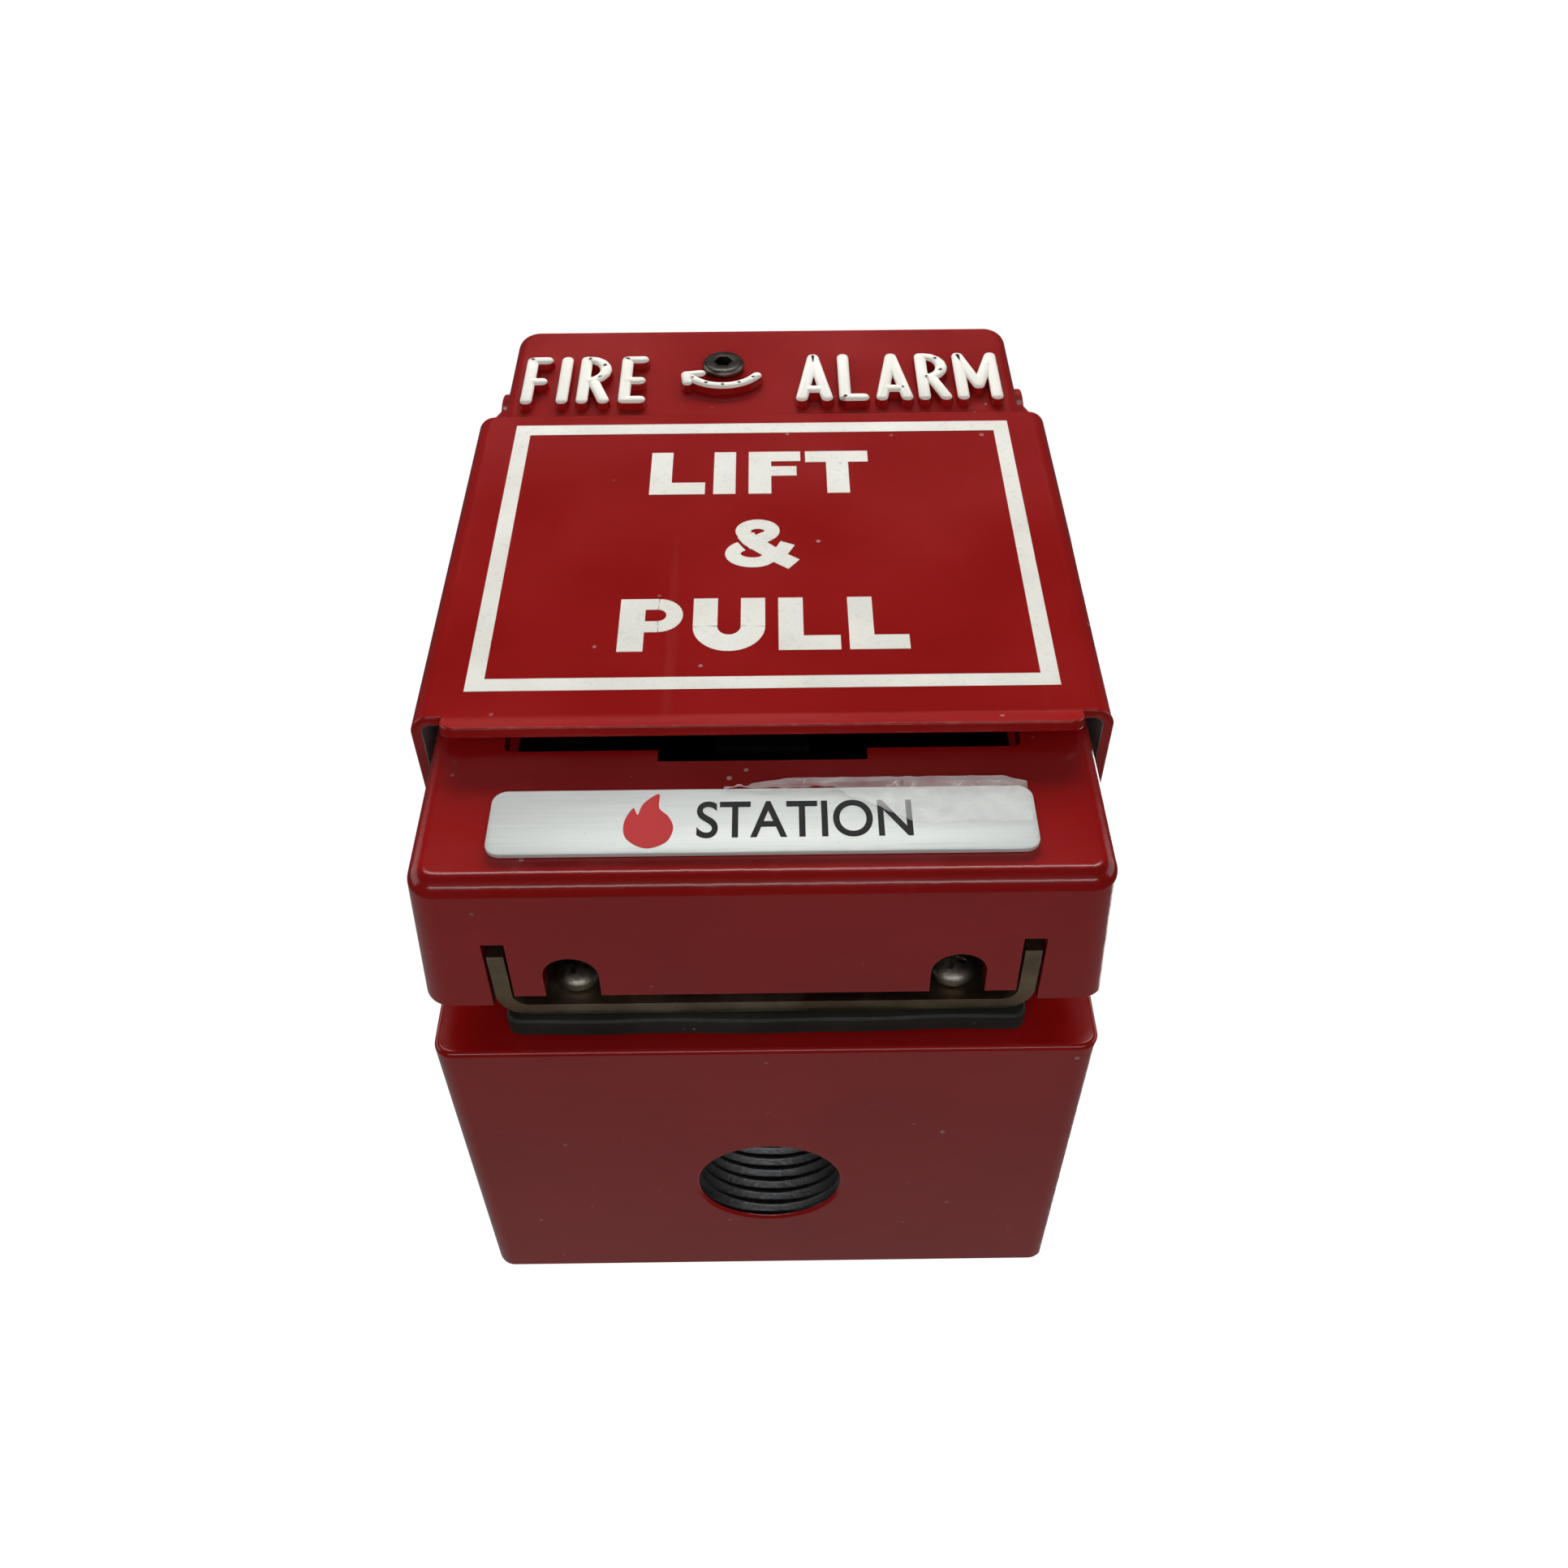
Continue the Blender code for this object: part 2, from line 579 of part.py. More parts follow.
def switch_lead(mark, side, terminal_start, material):
    """An insulated lead from a switch terminal, up behind the web and out through its window to the block."""
    pole_x = (mark - 0.5) * BLOCK_PITCH
    off_terminal = TERMINAL_SHEET / 2 + LEAD_RADIUS + GAP
    first = (side * 0.0006, terminal_start + TERMINAL_LENGTH * 0.6, SWITCH_Z + side * TERMINAL_SPREAD + off_terminal)
    route = [
        first,
        (side * 0.0100, terminal_start + 0.0060, first[2] + 0.0020),
        (side * 0.0120, terminal_start - 0.0030, WIRE_WINDOW_LOW - 0.0080),
        (side * 0.0085, WEB_REAR + 0.0090, WIRE_WINDOW_LOW + 0.0100),
        (pole_x, WEB_FRONT - 0.0030, WIRE_WINDOW_HIGH - 0.0060),
        (pole_x, WEB_FRONT - 0.0045, BLOCK_LOW - LEAD_RADIUS - GAP),
    ]
    points = smooth_route([place(*point) for point in route], steps=5)
    curve = bpy.data.curves.new(f"switch_lead_{mark + 1}", "CURVE")
    curve.dimensions = "3D"
    curve.bevel_depth = LEAD_RADIUS
    curve.bevel_resolution = 2
    curve.use_fill_caps = True
    spline = curve.splines.new("POLY")
    spline.points.add(len(points) - 1)
    for target, point in zip(spline.points, points):
        target.co = (*point, 1.0)
    curve.materials.append(material)
    lead = bpy.data.objects.new(f"switch_lead_{mark + 1}", curve)
    bpy.context.scene.collection.objects.link(lead)
    return lead


def smooth_route(points, steps):
    """Points along a Catmull-Rom curve through the given ones."""
    padded = [points[0], *points, points[-1]]
    smooth = []
    for before, start, end, after in zip(padded, padded[1:], padded[2:], padded[3:]):
        for step in range(steps):
            t = step / steps
            smooth.append(0.5 * (
                2 * start + (end - before) * t + (2 * before - 5 * start + 4 * end - after) * t**2
                + (3 * start - before - 3 * end + after) * t**3
            ))
    smooth.append(points[-1])
    return smooth


def terminal_block():
    """The four-pole wiring block on the web, with a well and a clamping screw at each pole."""
    rear = WEB_FRONT - GAP
    front = rear - BLOCK_DEPTH
    middle = BLOCK_LOW + BLOCK_HEIGHT / 2
    body = block_between(
        "terminal_block", (-BLOCK_WIDTH / 2, BLOCK_WIDTH / 2), (front, rear),
        (BLOCK_LOW, BLOCK_LOW + BLOCK_HEIGHT), BLACK_PHENOLIC,
    )
    pole_span = (BLOCK_POLES * BLOCK_PITCH) / 2
    ear_depth = front + BLOCK_DEPTH * 0.55
    for mark, side in enumerate((-1, 1)):
        near, far = side * pole_span, side * (BLOCK_WIDTH / 2 + GAP)
        cut(body, block_between(
            f"block_ear_{mark}", (min(near, far), max(near, far)), (front - GAP, ear_depth),
            (BLOCK_LOW - GAP, BLOCK_LOW + BLOCK_HEIGHT + GAP),
        ))
    for mark, x in enumerate(block_fixing_places(), start=1):
        entry = place(x, front, middle)
        cut(body, rod(f"block_ear_hole_{mark}", entry, place(x, rear + GAP, middle), SMALL_SHANK + GAP, sides=16))
        pan_screw(
            f"block_screw_{mark}", x, middle, ear_depth - GAP, SMALL_SHANK, SMALL_HEAD * 0.9, SMALL_HEAD_HEIGHT,
            BLOCK_DEPTH * 0.45 + 2 * CHASSIS_SHEET, BARE_ZINC, sides=20,
        )
    for pole in range(BLOCK_POLES):
        x = (pole - (BLOCK_POLES - 1) / 2) * BLOCK_PITCH
        well = BLOCK_PITCH / 2 - 0.0007
        cut(body, block_between(
            f"block_well_{pole}", (x - well, x + well), (front - GAP, front + BLOCK_WELL),
            (BLOCK_LOW + 0.0012, BLOCK_LOW + BLOCK_HEIGHT + GAP),
        ))
        shank_room = rod(
            f"block_tap_{pole}", place(x, front, middle), place(x, rear - 0.0015, middle), SMALL_SHANK + GAP, sides=16
        )
        cut(body, shank_room)
        pan_screw(
            f"terminal_screw_{pole + 1}", x, middle, front + BLOCK_WELL - GAP, SMALL_SHANK, SMALL_HEAD,
            SMALL_HEAD_HEIGHT, BLOCK_DEPTH - BLOCK_WELL - 0.0020, BRASS, sides=20,
        )
    return body


def earth_screw():
    return pan_screw(
        "earth_screw", EARTH_X, EARTH_Z, WEB_FRONT - GAP, SMALL_SHANK, SMALL_HEAD * 1.25, SMALL_HEAD_HEIGHT,
        3 * CHASSIS_SHEET, GREEN_DYE,
    )


def cover_ring(bm, depth, inset):
    """One outline of the cover at a depth, pulled in by an inset, following the draft of its sides."""
    to_rear = COVER_DEPTH - depth
    width = COVER_WIDTH - 2 * (SIDE_DRAFT * to_rear + inset)
    height = COVER_HEIGHT - 2 * (END_DRAFT * to_rear + inset)
    corner = max(COVER_CORNER - inset, 0.0008)
    return [bm.verts.new((x, y_at(depth), z)) for x, z in rounded_outline(width, height, corner)]


def cover_shell():
    """The hollow casting with drafted sides and a rounded front edge, open at the rear."""
    bm = bmesh.new()
    steps = 4
    rings = [cover_ring(bm, COVER_DEPTH, 0.0)]
    for step in range(steps + 1):
        angle = pi / 2 * step / steps
        rings.append(cover_ring(bm, COVER_FILLET * (1 - sin(angle)), COVER_FILLET * (1 - cos(angle))))
    inner = [cover_ring(bm, COVER_WALL, COVER_WALL), cover_ring(bm, COVER_DEPTH, COVER_WALL)]
    bm.faces.new(rings[-1])
    bm.faces.new(inner[0])
    order = rings[::-1] + inner[::-1]
    for near, far in zip(order, order[1:]):
        for i in range(len(near)):
            j = (i + 1) % len(near)
            bm.faces.new((near[i], near[j], far[j], far[i]))
    return add_object("front_cover", bm, RED_ENAMEL)


def front_cover():
    """The casting, with its handle window, hinge and handle lugs, pin bosses, and the cuts in its lower wall."""
    cover = cover_shell()
    half = CHASSIS_WIDTH / 2
    lug_inner = half + SWING_GAP
    lug_outer = COVER_WIDTH / 2 - SIDE_DRAFT * (COVER_DEPTH - HINGE_DEPTH + HINGE_LUG) - 0.7 * COVER_WALL
    for mark, side in enumerate((-1, 1)):
        start = place(side * lug_inner, HINGE_DEPTH, HINGE_Z)
        end = place(side * lug_outer, HINGE_DEPTH, HINGE_Z)
        add(cover, rod(f"hinge_lug_{mark}", start, end, HINGE_LUG, sides=28))
        socket = place(side * (half + HINGE_PIN_TAIL + GAP), HINGE_DEPTH, HINGE_Z)
        bore_start = place(side * (lug_inner - GAP), HINGE_DEPTH, HINGE_Z)
        cut(cover, rod(f"hinge_socket_{mark}", bore_start, socket, HINGE_PIN_RADIUS + GAP, sides=24))
        pin_boss_inner = side * (DOOR_INNER - DOOR_PIN_LENGTH + DOOR_SHEET + GAP)
        boss_start = place(pin_boss_inner, DOOR_PIN_DEPTH, DOOR_PIN_Z)
        wall_x = COVER_WIDTH / 2 - SIDE_DRAFT * (COVER_DEPTH - DOOR_PIN_DEPTH + DOOR_PIN_BOSS) - COVER_WALL / 2
        boss_end = place(side * wall_x, DOOR_PIN_DEPTH, DOOR_PIN_Z)
        add(cover, rod(f"door_pin_boss_{mark}", boss_start, boss_end, DOOR_PIN_BOSS, sides=28))
        drill = [place(side * x, DOOR_PIN_DEPTH, DOOR_PIN_Z) for x in (abs(pin_boss_inner) - GAP, DOOR_OUTER)]
        cut(cover, rod(f"door_pin_bore_{mark}", *drill, DOOR_PIN_RADIUS + GAP, sides=24))
        near = side * (STEM_WIDTH / 2 + SWING_GAP)
        far = near + side * HANDLE_LUG
        lug_outline = [
            (COVER_WALL / 2, HANDLE_PIVOT_Z - HANDLE_BARREL), (COVER_WALL / 2, HANDLE_PIVOT_Z + HANDLE_BARREL),
        ] + arc((HANDLE_PIVOT_DEPTH, HANDLE_PIVOT_Z), HANDLE_BARREL, 90, -90, 10)
        lug = extruded(f"handle_lug_{mark}", lug_outline, "X", min(near, far), max(near, far))
        add(cover, lug)
    pin_ends = [place(x, HANDLE_PIVOT_DEPTH, HANDLE_PIVOT_Z) for x in (-HANDLE_PIN_REACH - GAP, HANDLE_PIN_REACH + GAP)]
    cut(cover, rod("handle_pin_bore", *pin_ends, HANDLE_PIN_RADIUS + GAP, sides=20))

    front_range = (-COVER_WALL, 2 * COVER_WALL)
    cut(
        cover,
        block_between("handle_window", (-WINDOW_WIDTH / 2, WINDOW_WIDTH / 2), front_range, (WINDOW_LOW, WINDOW_HIGH)),
        block_between("stem_notch", (-NOTCH_WIDTH / 2, NOTCH_WIDTH / 2), front_range, (NOTCH_LOW, WINDOW_LOW + 0.001)),
        rod("lock_hole", place(LOCK_X, -COVER_WALL, LOCK_Z), place(LOCK_X, 2 * COVER_WALL, LOCK_Z), LOCK_SHANK + GAP),
    )
    low_range = (-COVER_WALL, COVER_WALL + END_DRAFT * COVER_DEPTH + GAP)
    past_rear = COVER_DEPTH + COVER_WALL
    slot_front = WEB_FRONT - FLANGE_REACH - SLOT_AHEAD
    recess_front = COVER_DEPTH - BOTTOM_RECESS
    recess_half = half - CHASSIS_SHEET - SWING_GAP
    cut(cover, block_between("web_recess", (-recess_half, recess_half), (recess_front, past_rear), low_range))
    for mark, side in enumerate((-1, 1)):
        edges = sorted((side * (half - CHASSIS_SHEET - SWING_GAP), side * (half + GAP)))
        cut(cover, block_between(f"flange_slot_{mark}", edges, (slot_front, past_rear), low_range))
        beside = sorted((side * (recess_half - SLOT_CORNER), side * (recess_half + GAP)))
        cut(cover, block_between(f"slot_corner_{mark}", beside, (recess_front - SLOT_CORNER, past_rear), low_range))
        x = side * SCREW_X
        radius = SCREW_NOTCH_WIDTH / 2
        notch = block_between(
            f"screw_notch_{mark}", (x - radius, x + radius), (SCREW_NOTCH_FRONT + radius, past_rear), low_range
        )
        round_start = place(x, SCREW_NOTCH_FRONT + radius, low_range[0])
        round_end = place(x, SCREW_NOTCH_FRONT + radius, low_range[1])
        cut(cover, notch, rod(f"screw_notch_end_{mark}", round_start, round_end, radius, sides=24))
    return cover


def door_pins():
    for name, side in (("door_pin_left", -1), ("door_pin_right", 1)):
        start = place(side * (DOOR_OUTER - DOOR_PIN_LENGTH), DOOR_PIN_DEPTH, DOOR_PIN_Z)
        end = place(side * DOOR_OUTER, DOOR_PIN_DEPTH, DOOR_PIN_Z)
        rod(name, start, end, DOOR_PIN_RADIUS, DARK_STEEL, sides=24)


def handle_pin():
    ends = [place(x, HANDLE_PIVOT_DEPTH, HANDLE_PIVOT_Z) for x in (-HANDLE_PIN_REACH, HANDLE_PIN_REACH)]
    rod("handle_pin", *ends, HANDLE_PIN_RADIUS, BARE_ZINC, sides=20)


def nameplate():
    rear = y_at(0.0) - LABEL_GAP
    rounded_block(
        "nameplate", (PLATE_WIDTH, PLATE_HEIGHT), PLATE_CORNER, (rear - PLATE_SHEET, rear),
        z_at(PLATE_LOW + PLATE_HEIGHT / 2), BRUSHED_ALUMINIUM,
    )


def lift_door():
    """The folded steel door: face, rounded side bends, side flanges with hinge ears, and a lip to lift it by."""
    bm = bmesh.new()
    half = DOOR_OUTER - DOOR_SHEET / 2
    face_depth = -DOOR_GAP - DOOR_SHEET / 2
    bend_steps = 4
    lip_half = LIP_WIDTH / 2

    def vert(x, depth, height):
        return bm.verts.new(place(x, depth, height))

    flat = half - DOOR_BEND
    tops = {side: vert(side * flat, face_depth, DOOR_TOP) for side in (-1, 1)}
    lows = {side: vert(side * flat, face_depth, DOOR_BOTTOM) for side in (-1, 1)}
    roots = {side: vert(side * lip_half, face_depth, DOOR_BOTTOM) for side in (-1, 1)}
    bm.faces.new((tops[-1], tops[1], lows[1], roots[1], roots[-1], lows[-1]))
    lip_low = DOOR_BOTTOM - LIP_DROP
    ends = []
    for start, side in ((0, 1), (90, -1)):
        centre = (side * (lip_half - LIP_CORNER), lip_low + LIP_CORNER)
        ends += [point for point in arc(centre, LIP_CORNER, -start, -start - 90, 4)]
    lip = [roots[1]]
    for x, height in ends:
        share = (DOOR_BOTTOM - height) / LIP_DROP
        lip.append(vert(x, face_depth - LIP_FLARE * share, height))
    bm.faces.new(lip + [roots[-1]])
    for side in (-1, 1):
        column = [(tops[side], lows[side])]
        for x, depth in arc((flat, face_depth + DOOR_BEND), DOOR_BEND, -90, 0, bend_steps)[1:]:
            column.append((vert(side * x, depth, DOOR_TOP), vert(side * x, depth, DOOR_BOTTOM)))
        for (top_a, low_a), (top_b, low_b) in zip(column, column[1:]):
            bm.faces.new((top_a, top_b, low_b, low_a))
        top, low = column[-1]
        ear_front = EAR_FRONT_DEPTH - DOOR_PIN_DEPTH
        start_angle = 180 + 25
        ear = arc((DOOR_PIN_DEPTH, DOOR_PIN_Z), EAR_RADIUS, start_angle, 0, 10)
        outline = [vert(side * half, depth, height) for depth, height in ear]
        outline.append(vert(side * half, DOOR_FLANGE_REAR, DOOR_TOP))
        outline.append(vert(side * half, DOOR_FLANGE_REAR, DOOR_BOTTOM + 0.002))
        outline.append(vert(side * half, DOOR_FLANGE_REAR - 0.002, DOOR_BOTTOM))
        bm.faces.new([top, *outline, low])
    bmesh.ops.recalc_face_normals(bm, faces=bm.faces)
    door = add_object("lift_door", bm, RED_ENAMEL)
    thicken = door.modifiers.new("Sheet thickness", "SOLIDIFY")
    thicken.thickness = DOOR_SHEET
    thicken.offset = 0.0
    thicken.use_even_offset = True
    for mark, side in enumerate((-1, 1)):
        drill = [place(side * x, DOOR_PIN_DEPTH, DOOR_PIN_Z) for x in (DOOR_INNER - GAP, DOOR_OUTER + GAP)]
        cut(door, rod(f"ear_hole_{mark}", *drill, DOOR_PIN_RADIUS + GAP, sides=24))
    return door


def pull_handle():
    """The T-shaped handle behind the door: bar, stem, the neck that passes its pivot, and the arm to the switch."""
    half = STEM_WIDTH / 2
    front = HANDLE_FRONT
    back = front + HANDLE_THICKNESS
    link_front = HANDLE_PIVOT_DEPTH - 0.0002
    link_back = link_front + STEM_LINK
    neck_high = NECK_LOW + STEM_LINK
    outline = [
        (front, NECK_LOW), (link_front, NECK_LOW),
        (link_front, HANDLE_PIVOT_Z), (link_back, HANDLE_PIVOT_Z), (link_back, neck_high),
        (back, neck_high), (back, BAR_HIGH), (front, BAR_HIGH),
    ]
    handle = extruded("pull_handle", outline, "X", -half, half, CAST_GREY)
    barrel_half = half - 0.0001
    pivot = [place(x, HANDLE_PIVOT_DEPTH, HANDLE_PIVOT_Z) for x in (-barrel_half, barrel_half)]
    add(handle, rod("handle_barrel", *pivot, HANDLE_BARREL, sides=28))
    bar_centre = z_at((BAR_LOW + BAR_HIGH) / 2)
    bar_y = (y_at(front + 0.0001), y_at(back - 0.0001))
    add(handle, rounded_block("handle_bar", (BAR_WIDTH, BAR_HIGH - BAR_LOW - 0.0004), 0.004, bar_y, bar_centre))
    arm_low = HANDLE_PIVOT_Z - TRIP_ARM_HEIGHT / 2
    arm_reach = (HANDLE_PIVOT_DEPTH, HANDLE_PIVOT_DEPTH + TRIP_ARM_LENGTH)
    add(handle, block_between(
        "trip_arm", (-half / 2, half / 2), arm_reach, (arm_low, arm_low + TRIP_ARM_HEIGHT)
    ))
    bore = [place(x, HANDLE_PIVOT_DEPTH, HANDLE_PIVOT_Z) for x in (-STEM_WIDTH, STEM_WIDTH)]
    cut(handle, rod("handle_bore", *bore, HANDLE_PIN_RADIUS + GAP, sides=20))
    return handle


def switch_toggle():
    """The lever of the switch, at rest tilted down towards the trip arm."""
    pivot = place(0, TOGGLE_PIVOT_DEPTH, SWITCH_Z)
    tilt = radians(TOGGLE_HALF_THROW)
    along = Vector((0, -cos(tilt), -sin(tilt)))
    straight = TOGGLE_LENGTH - TOGGLE_TIP_RADIUS
    profile = [(-TOGGLE_ROOT_RADIUS * 0.6, TOGGLE_ROOT_RADIUS * 0.6), (0, TOGGLE_ROOT_RADIUS)]
    profile.append((straight - TOGGLE_TIP_RADIUS, TOGGLE_TIP_RADIUS))
    for step in range(4):
        angle = radians(22 * step)
        profile.append((straight + TOGGLE_TIP_RADIUS * sin(angle), TOGGLE_TIP_RADIUS * cos(angle)))
    return turned("switch_toggle", pivot, along, profile, BARE_ZINC, sides=20)


def cover_lock():
    """The socket screw in the cover, the cam on its inner end and the nut that holds the cam."""
    head_seat = -GAP
    shank_end = CAM_DEPTH + CAM_SHEET + LOCK_NUT_HEIGHT + 2 * GAP + 0.0008
    axis = Vector((0, 1, 0))
    seat = place(LOCK_X, head_seat, LOCK_Z)
    crown = LOCK_HEAD_HEIGHT * 0.5
    profile = [
        (-LOCK_HEAD_HEIGHT, LOCK_HEAD * 0.80), (-LOCK_HEAD_HEIGHT + crown, LOCK_HEAD), (0, LOCK_HEAD),
        (0, LOCK_SHANK), (shank_end - head_seat, LOCK_SHANK),
    ]
    screw = turned("lock_screw", seat, axis, profile, DARK_STEEL)
    socket_start = seat - axis * 2 * LOCK_HEAD_HEIGHT
    socket = turned("lock_socket", socket_start, axis, [(0, LOCK_SOCKET), (0.0042, LOCK_SOCKET)], sides=6)
    cut(screw, socket)
    half = CAM_WIDTH / 2
    cam = block_between(
        "lock_cam", (LOCK_X - half, LOCK_X + CAM_LENGTH), (CAM_DEPTH, CAM_DEPTH + CAM_SHEET),
        (LOCK_Z - half, LOCK_Z + half), BARE_ZINC,
    )
    bore = [place(LOCK_X, depth, LOCK_Z) for depth in (CAM_DEPTH - GAP, CAM_DEPTH + CAM_SHEET + GAP)]
    cut(cam, rod("cam_hole", *bore, LOCK_SHANK + GAP))
    nut_start = place(LOCK_X, CAM_DEPTH + CAM_SHEET + GAP, LOCK_Z)
    hexagon("lock_nut", nut_start, axis, LOCK_SHANK + GAP, LOCK_NUT_WALL, LOCK_NUT_HEIGHT, BARE_ZINC)


def joint_empty(name, location, parent=None):
    """An empty on a joint's axis, which carries the pieces that the joint moves."""
    empty = bpy.data.objects.new(name, None)
    empty.empty_display_size = 0.01
    bpy.context.scene.collection.objects.link(empty)
    empty.location = location
    if parent:
        empty.parent = parent
        empty.matrix_parent_inverse = Matrix.Translation(-parent.location)
    return empty


def hang(empty, *names):
    """Lets pieces move with an empty, without moving them at rest."""
    for name in names:
        piece = bpy.data.objects[name]
        piece.parent = empty
        piece.matrix_parent_inverse = Matrix.Translation(-empty.location)


def joints():
    """The empties of the five joints. The door, the handle and the lock are carried by the cover."""
    cover = joint_empty("cover_hinge", place(0, HINGE_DEPTH, HINGE_Z))
    hang(cover, "front_cover", "nameplate", "door_pin_left", "door_pin_right", "handle_pin")
    hang(joint_empty("door_hinge", place(0, DOOR_PIN_DEPTH, DOOR_PIN_Z), cover), "lift_door")
    hang(joint_empty("handle_hinge", place(0, HANDLE_PIVOT_DEPTH, HANDLE_PIVOT_Z), cover), "pull_handle")
    hang(joint_empty("lock_axis", place(LOCK_X, 0, LOCK_Z), cover), "lock_screw", "lock_cam", "lock_nut")
    hang(joint_empty("toggle_pivot", place(0, TOGGLE_PIVOT_DEPTH, SWITCH_Z)), "switch_toggle")


back_box()
box_gasket()
chassis()
lock_catch()
chassis_screws()
hinge_pins()
toggle_switch()
terminal_block()
earth_screw()
front_cover()
door_pins()
handle_pin()
nameplate()
lift_door()
pull_handle()
switch_toggle()
cover_lock()
joints()
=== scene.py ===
"""A red fire alarm station on its deep wall box, put together from the wall outwards.

Metres. Places are given as x, depth behind the front face of the cover, and height above the cover's lower edge.
"""

from math import ceil, cos, pi, radians, sin

import bmesh
import bpy
from mathutils import Matrix, Vector, noise


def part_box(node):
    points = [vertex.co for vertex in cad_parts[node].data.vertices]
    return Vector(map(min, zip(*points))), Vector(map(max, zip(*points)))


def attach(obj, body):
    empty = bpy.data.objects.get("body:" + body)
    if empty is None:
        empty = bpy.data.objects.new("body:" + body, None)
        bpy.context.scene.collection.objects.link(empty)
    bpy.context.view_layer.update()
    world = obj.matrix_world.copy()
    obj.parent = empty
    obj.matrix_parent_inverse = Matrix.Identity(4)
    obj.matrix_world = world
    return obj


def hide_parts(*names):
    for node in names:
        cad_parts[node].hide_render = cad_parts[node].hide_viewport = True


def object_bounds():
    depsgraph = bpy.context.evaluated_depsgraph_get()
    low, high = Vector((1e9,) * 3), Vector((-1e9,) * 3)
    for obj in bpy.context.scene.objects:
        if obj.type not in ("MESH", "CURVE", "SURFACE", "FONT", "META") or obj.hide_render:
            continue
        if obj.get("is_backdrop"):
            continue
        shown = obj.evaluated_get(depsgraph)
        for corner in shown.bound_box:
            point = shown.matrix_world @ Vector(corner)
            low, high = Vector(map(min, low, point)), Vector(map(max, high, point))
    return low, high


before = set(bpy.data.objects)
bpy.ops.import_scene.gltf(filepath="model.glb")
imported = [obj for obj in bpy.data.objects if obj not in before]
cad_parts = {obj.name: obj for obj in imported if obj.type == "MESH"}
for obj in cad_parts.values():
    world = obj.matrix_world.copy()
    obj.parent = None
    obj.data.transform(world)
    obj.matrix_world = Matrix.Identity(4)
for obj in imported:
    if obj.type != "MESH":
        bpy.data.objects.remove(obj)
cad_low, cad_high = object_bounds()
cover_low, cover_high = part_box("front_cover")


def spot(x, depth, height):
    return Vector((x, cover_low.y + depth, cover_low.z + height))


# The camera: held by hand close below the object, looking up and in at it by about 43 degrees.
SENSOR_WIDTH, FOCAL_LENGTH, NEAREST = 36.0, 33.77, 0.01
CAMERA_X, CAMERA_DEPTH, CAMERA_HEIGHT = 0.001804, -0.125122, -0.102572
CAMERA_TILT, CAMERA_LEAN, CAMERA_TURN, CAMERA_ROLL = (radians(angle) for angle in (133.36, 0.4, 0.06, -0.35))


def add(name, data):
    """Puts some data into the scene as an object."""
    made = bpy.data.objects.new(name, data)
    bpy.context.scene.collection.objects.link(made)
    return made


lens = bpy.data.cameras.new("camera")
lens.sensor_width, lens.lens, lens.clip_start = SENSOR_WIDTH, FOCAL_LENGTH, NEAREST
camera = add("camera", lens)
camera.location = spot(CAMERA_X, CAMERA_DEPTH, CAMERA_HEIGHT)
camera.rotation_euler = (CAMERA_TILT, CAMERA_LEAN, CAMERA_TURN)
camera.rotation_euler.rotate_axis("Z", CAMERA_ROLL)
bpy.context.scene.camera = camera


# The studio: a white wall and a pale floor that only the camera sees, two strip lights for the gloss and soft
# lights for the rest. Towards the wall the room is grey, and elsewhere it is dim.
MIX_FACTOR, MIX_FIRST, MIX_SECOND, MIX_RESULT = 0, 6, 7, 2


def put(tree, kind, inputs=None, **settings):
    """Adds a node. Each input is a value or the output of another node."""
    made = tree.nodes.new(kind)
    for name, value in settings.items():
        setattr(made, name, value)
    for key, value in (inputs or {}).items():
        if isinstance(value, bpy.types.NodeSocket):
            tree.links.new(value, made.inputs[key])
        else:
            made.inputs[key].default_value = value
    return made


def mix(tree, factor, first, second):
    """A colour between two others."""
    colors = [color if isinstance(color, bpy.types.NodeSocket) else (*color, 1.0) for color in (first, second)]
    inputs = {MIX_FACTOR: factor, MIX_FIRST: colors[0], MIX_SECOND: colors[1]}
    return put(tree, "ShaderNodeMix", inputs, data_type="RGBA").outputs[MIX_RESULT]


def combine(tree, operation, *values):
    """A sum, a product or a comparison of values."""
    return put(tree, "ShaderNodeMath", dict(enumerate(values)), operation=operation).outputs[0]


def ramp(tree, value, start, end, low=0.0, high=1.0):
    """Goes from low to high as a value goes from start to end."""
    inputs = dict(enumerate((value, start, end, low, high)))
    return put(tree, "ShaderNodeMapRange", inputs).outputs[0]


def backdrop(name, corners, color, see_through=False):
    """A plain sheet of the studio, which lights nothing."""
    mesh = bpy.data.meshes.new(name)
    mesh.from_pydata(corners, [], [range(4)])
    paint = bpy.data.materials.new(name)
    paint.use_nodes = True
    tree = paint.node_tree
    tree.nodes.clear()
    glow = put(tree, "ShaderNodeEmission", {"Color": (*color, 1.0), "Strength": 1.0})
    output = put(tree, "ShaderNodeOutputMaterial")
    shown = glow.outputs[0]
    if see_through:
        side = put(tree, "ShaderNodeNewGeometry").outputs["Backfacing"]
        clear = put(tree, "ShaderNodeBsdfTransparent").outputs[0]
        shown = put(tree, "ShaderNodeMixShader", {0: side, 1: shown, 2: clear}).outputs[0]
    tree.links.new(shown, output.inputs["Surface"])
    mesh.materials.append(paint)
    sheet = add(name, mesh)
    sheet.visible_diffuse = sheet.visible_glossy = sheet.visible_transmission = sheet.visible_shadow = False
    sheet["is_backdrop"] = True


WALL_GAP, FLOOR_Z, STUDIO_REACH, WHITE = 0.0015, -0.40, 6, (1.0, 1.0, 1.0)
square = [(STUDIO_REACH * a, STUDIO_REACH * b) for a, b in ((-1, -1), (1, -1), (1, 1), (-1, 1))]
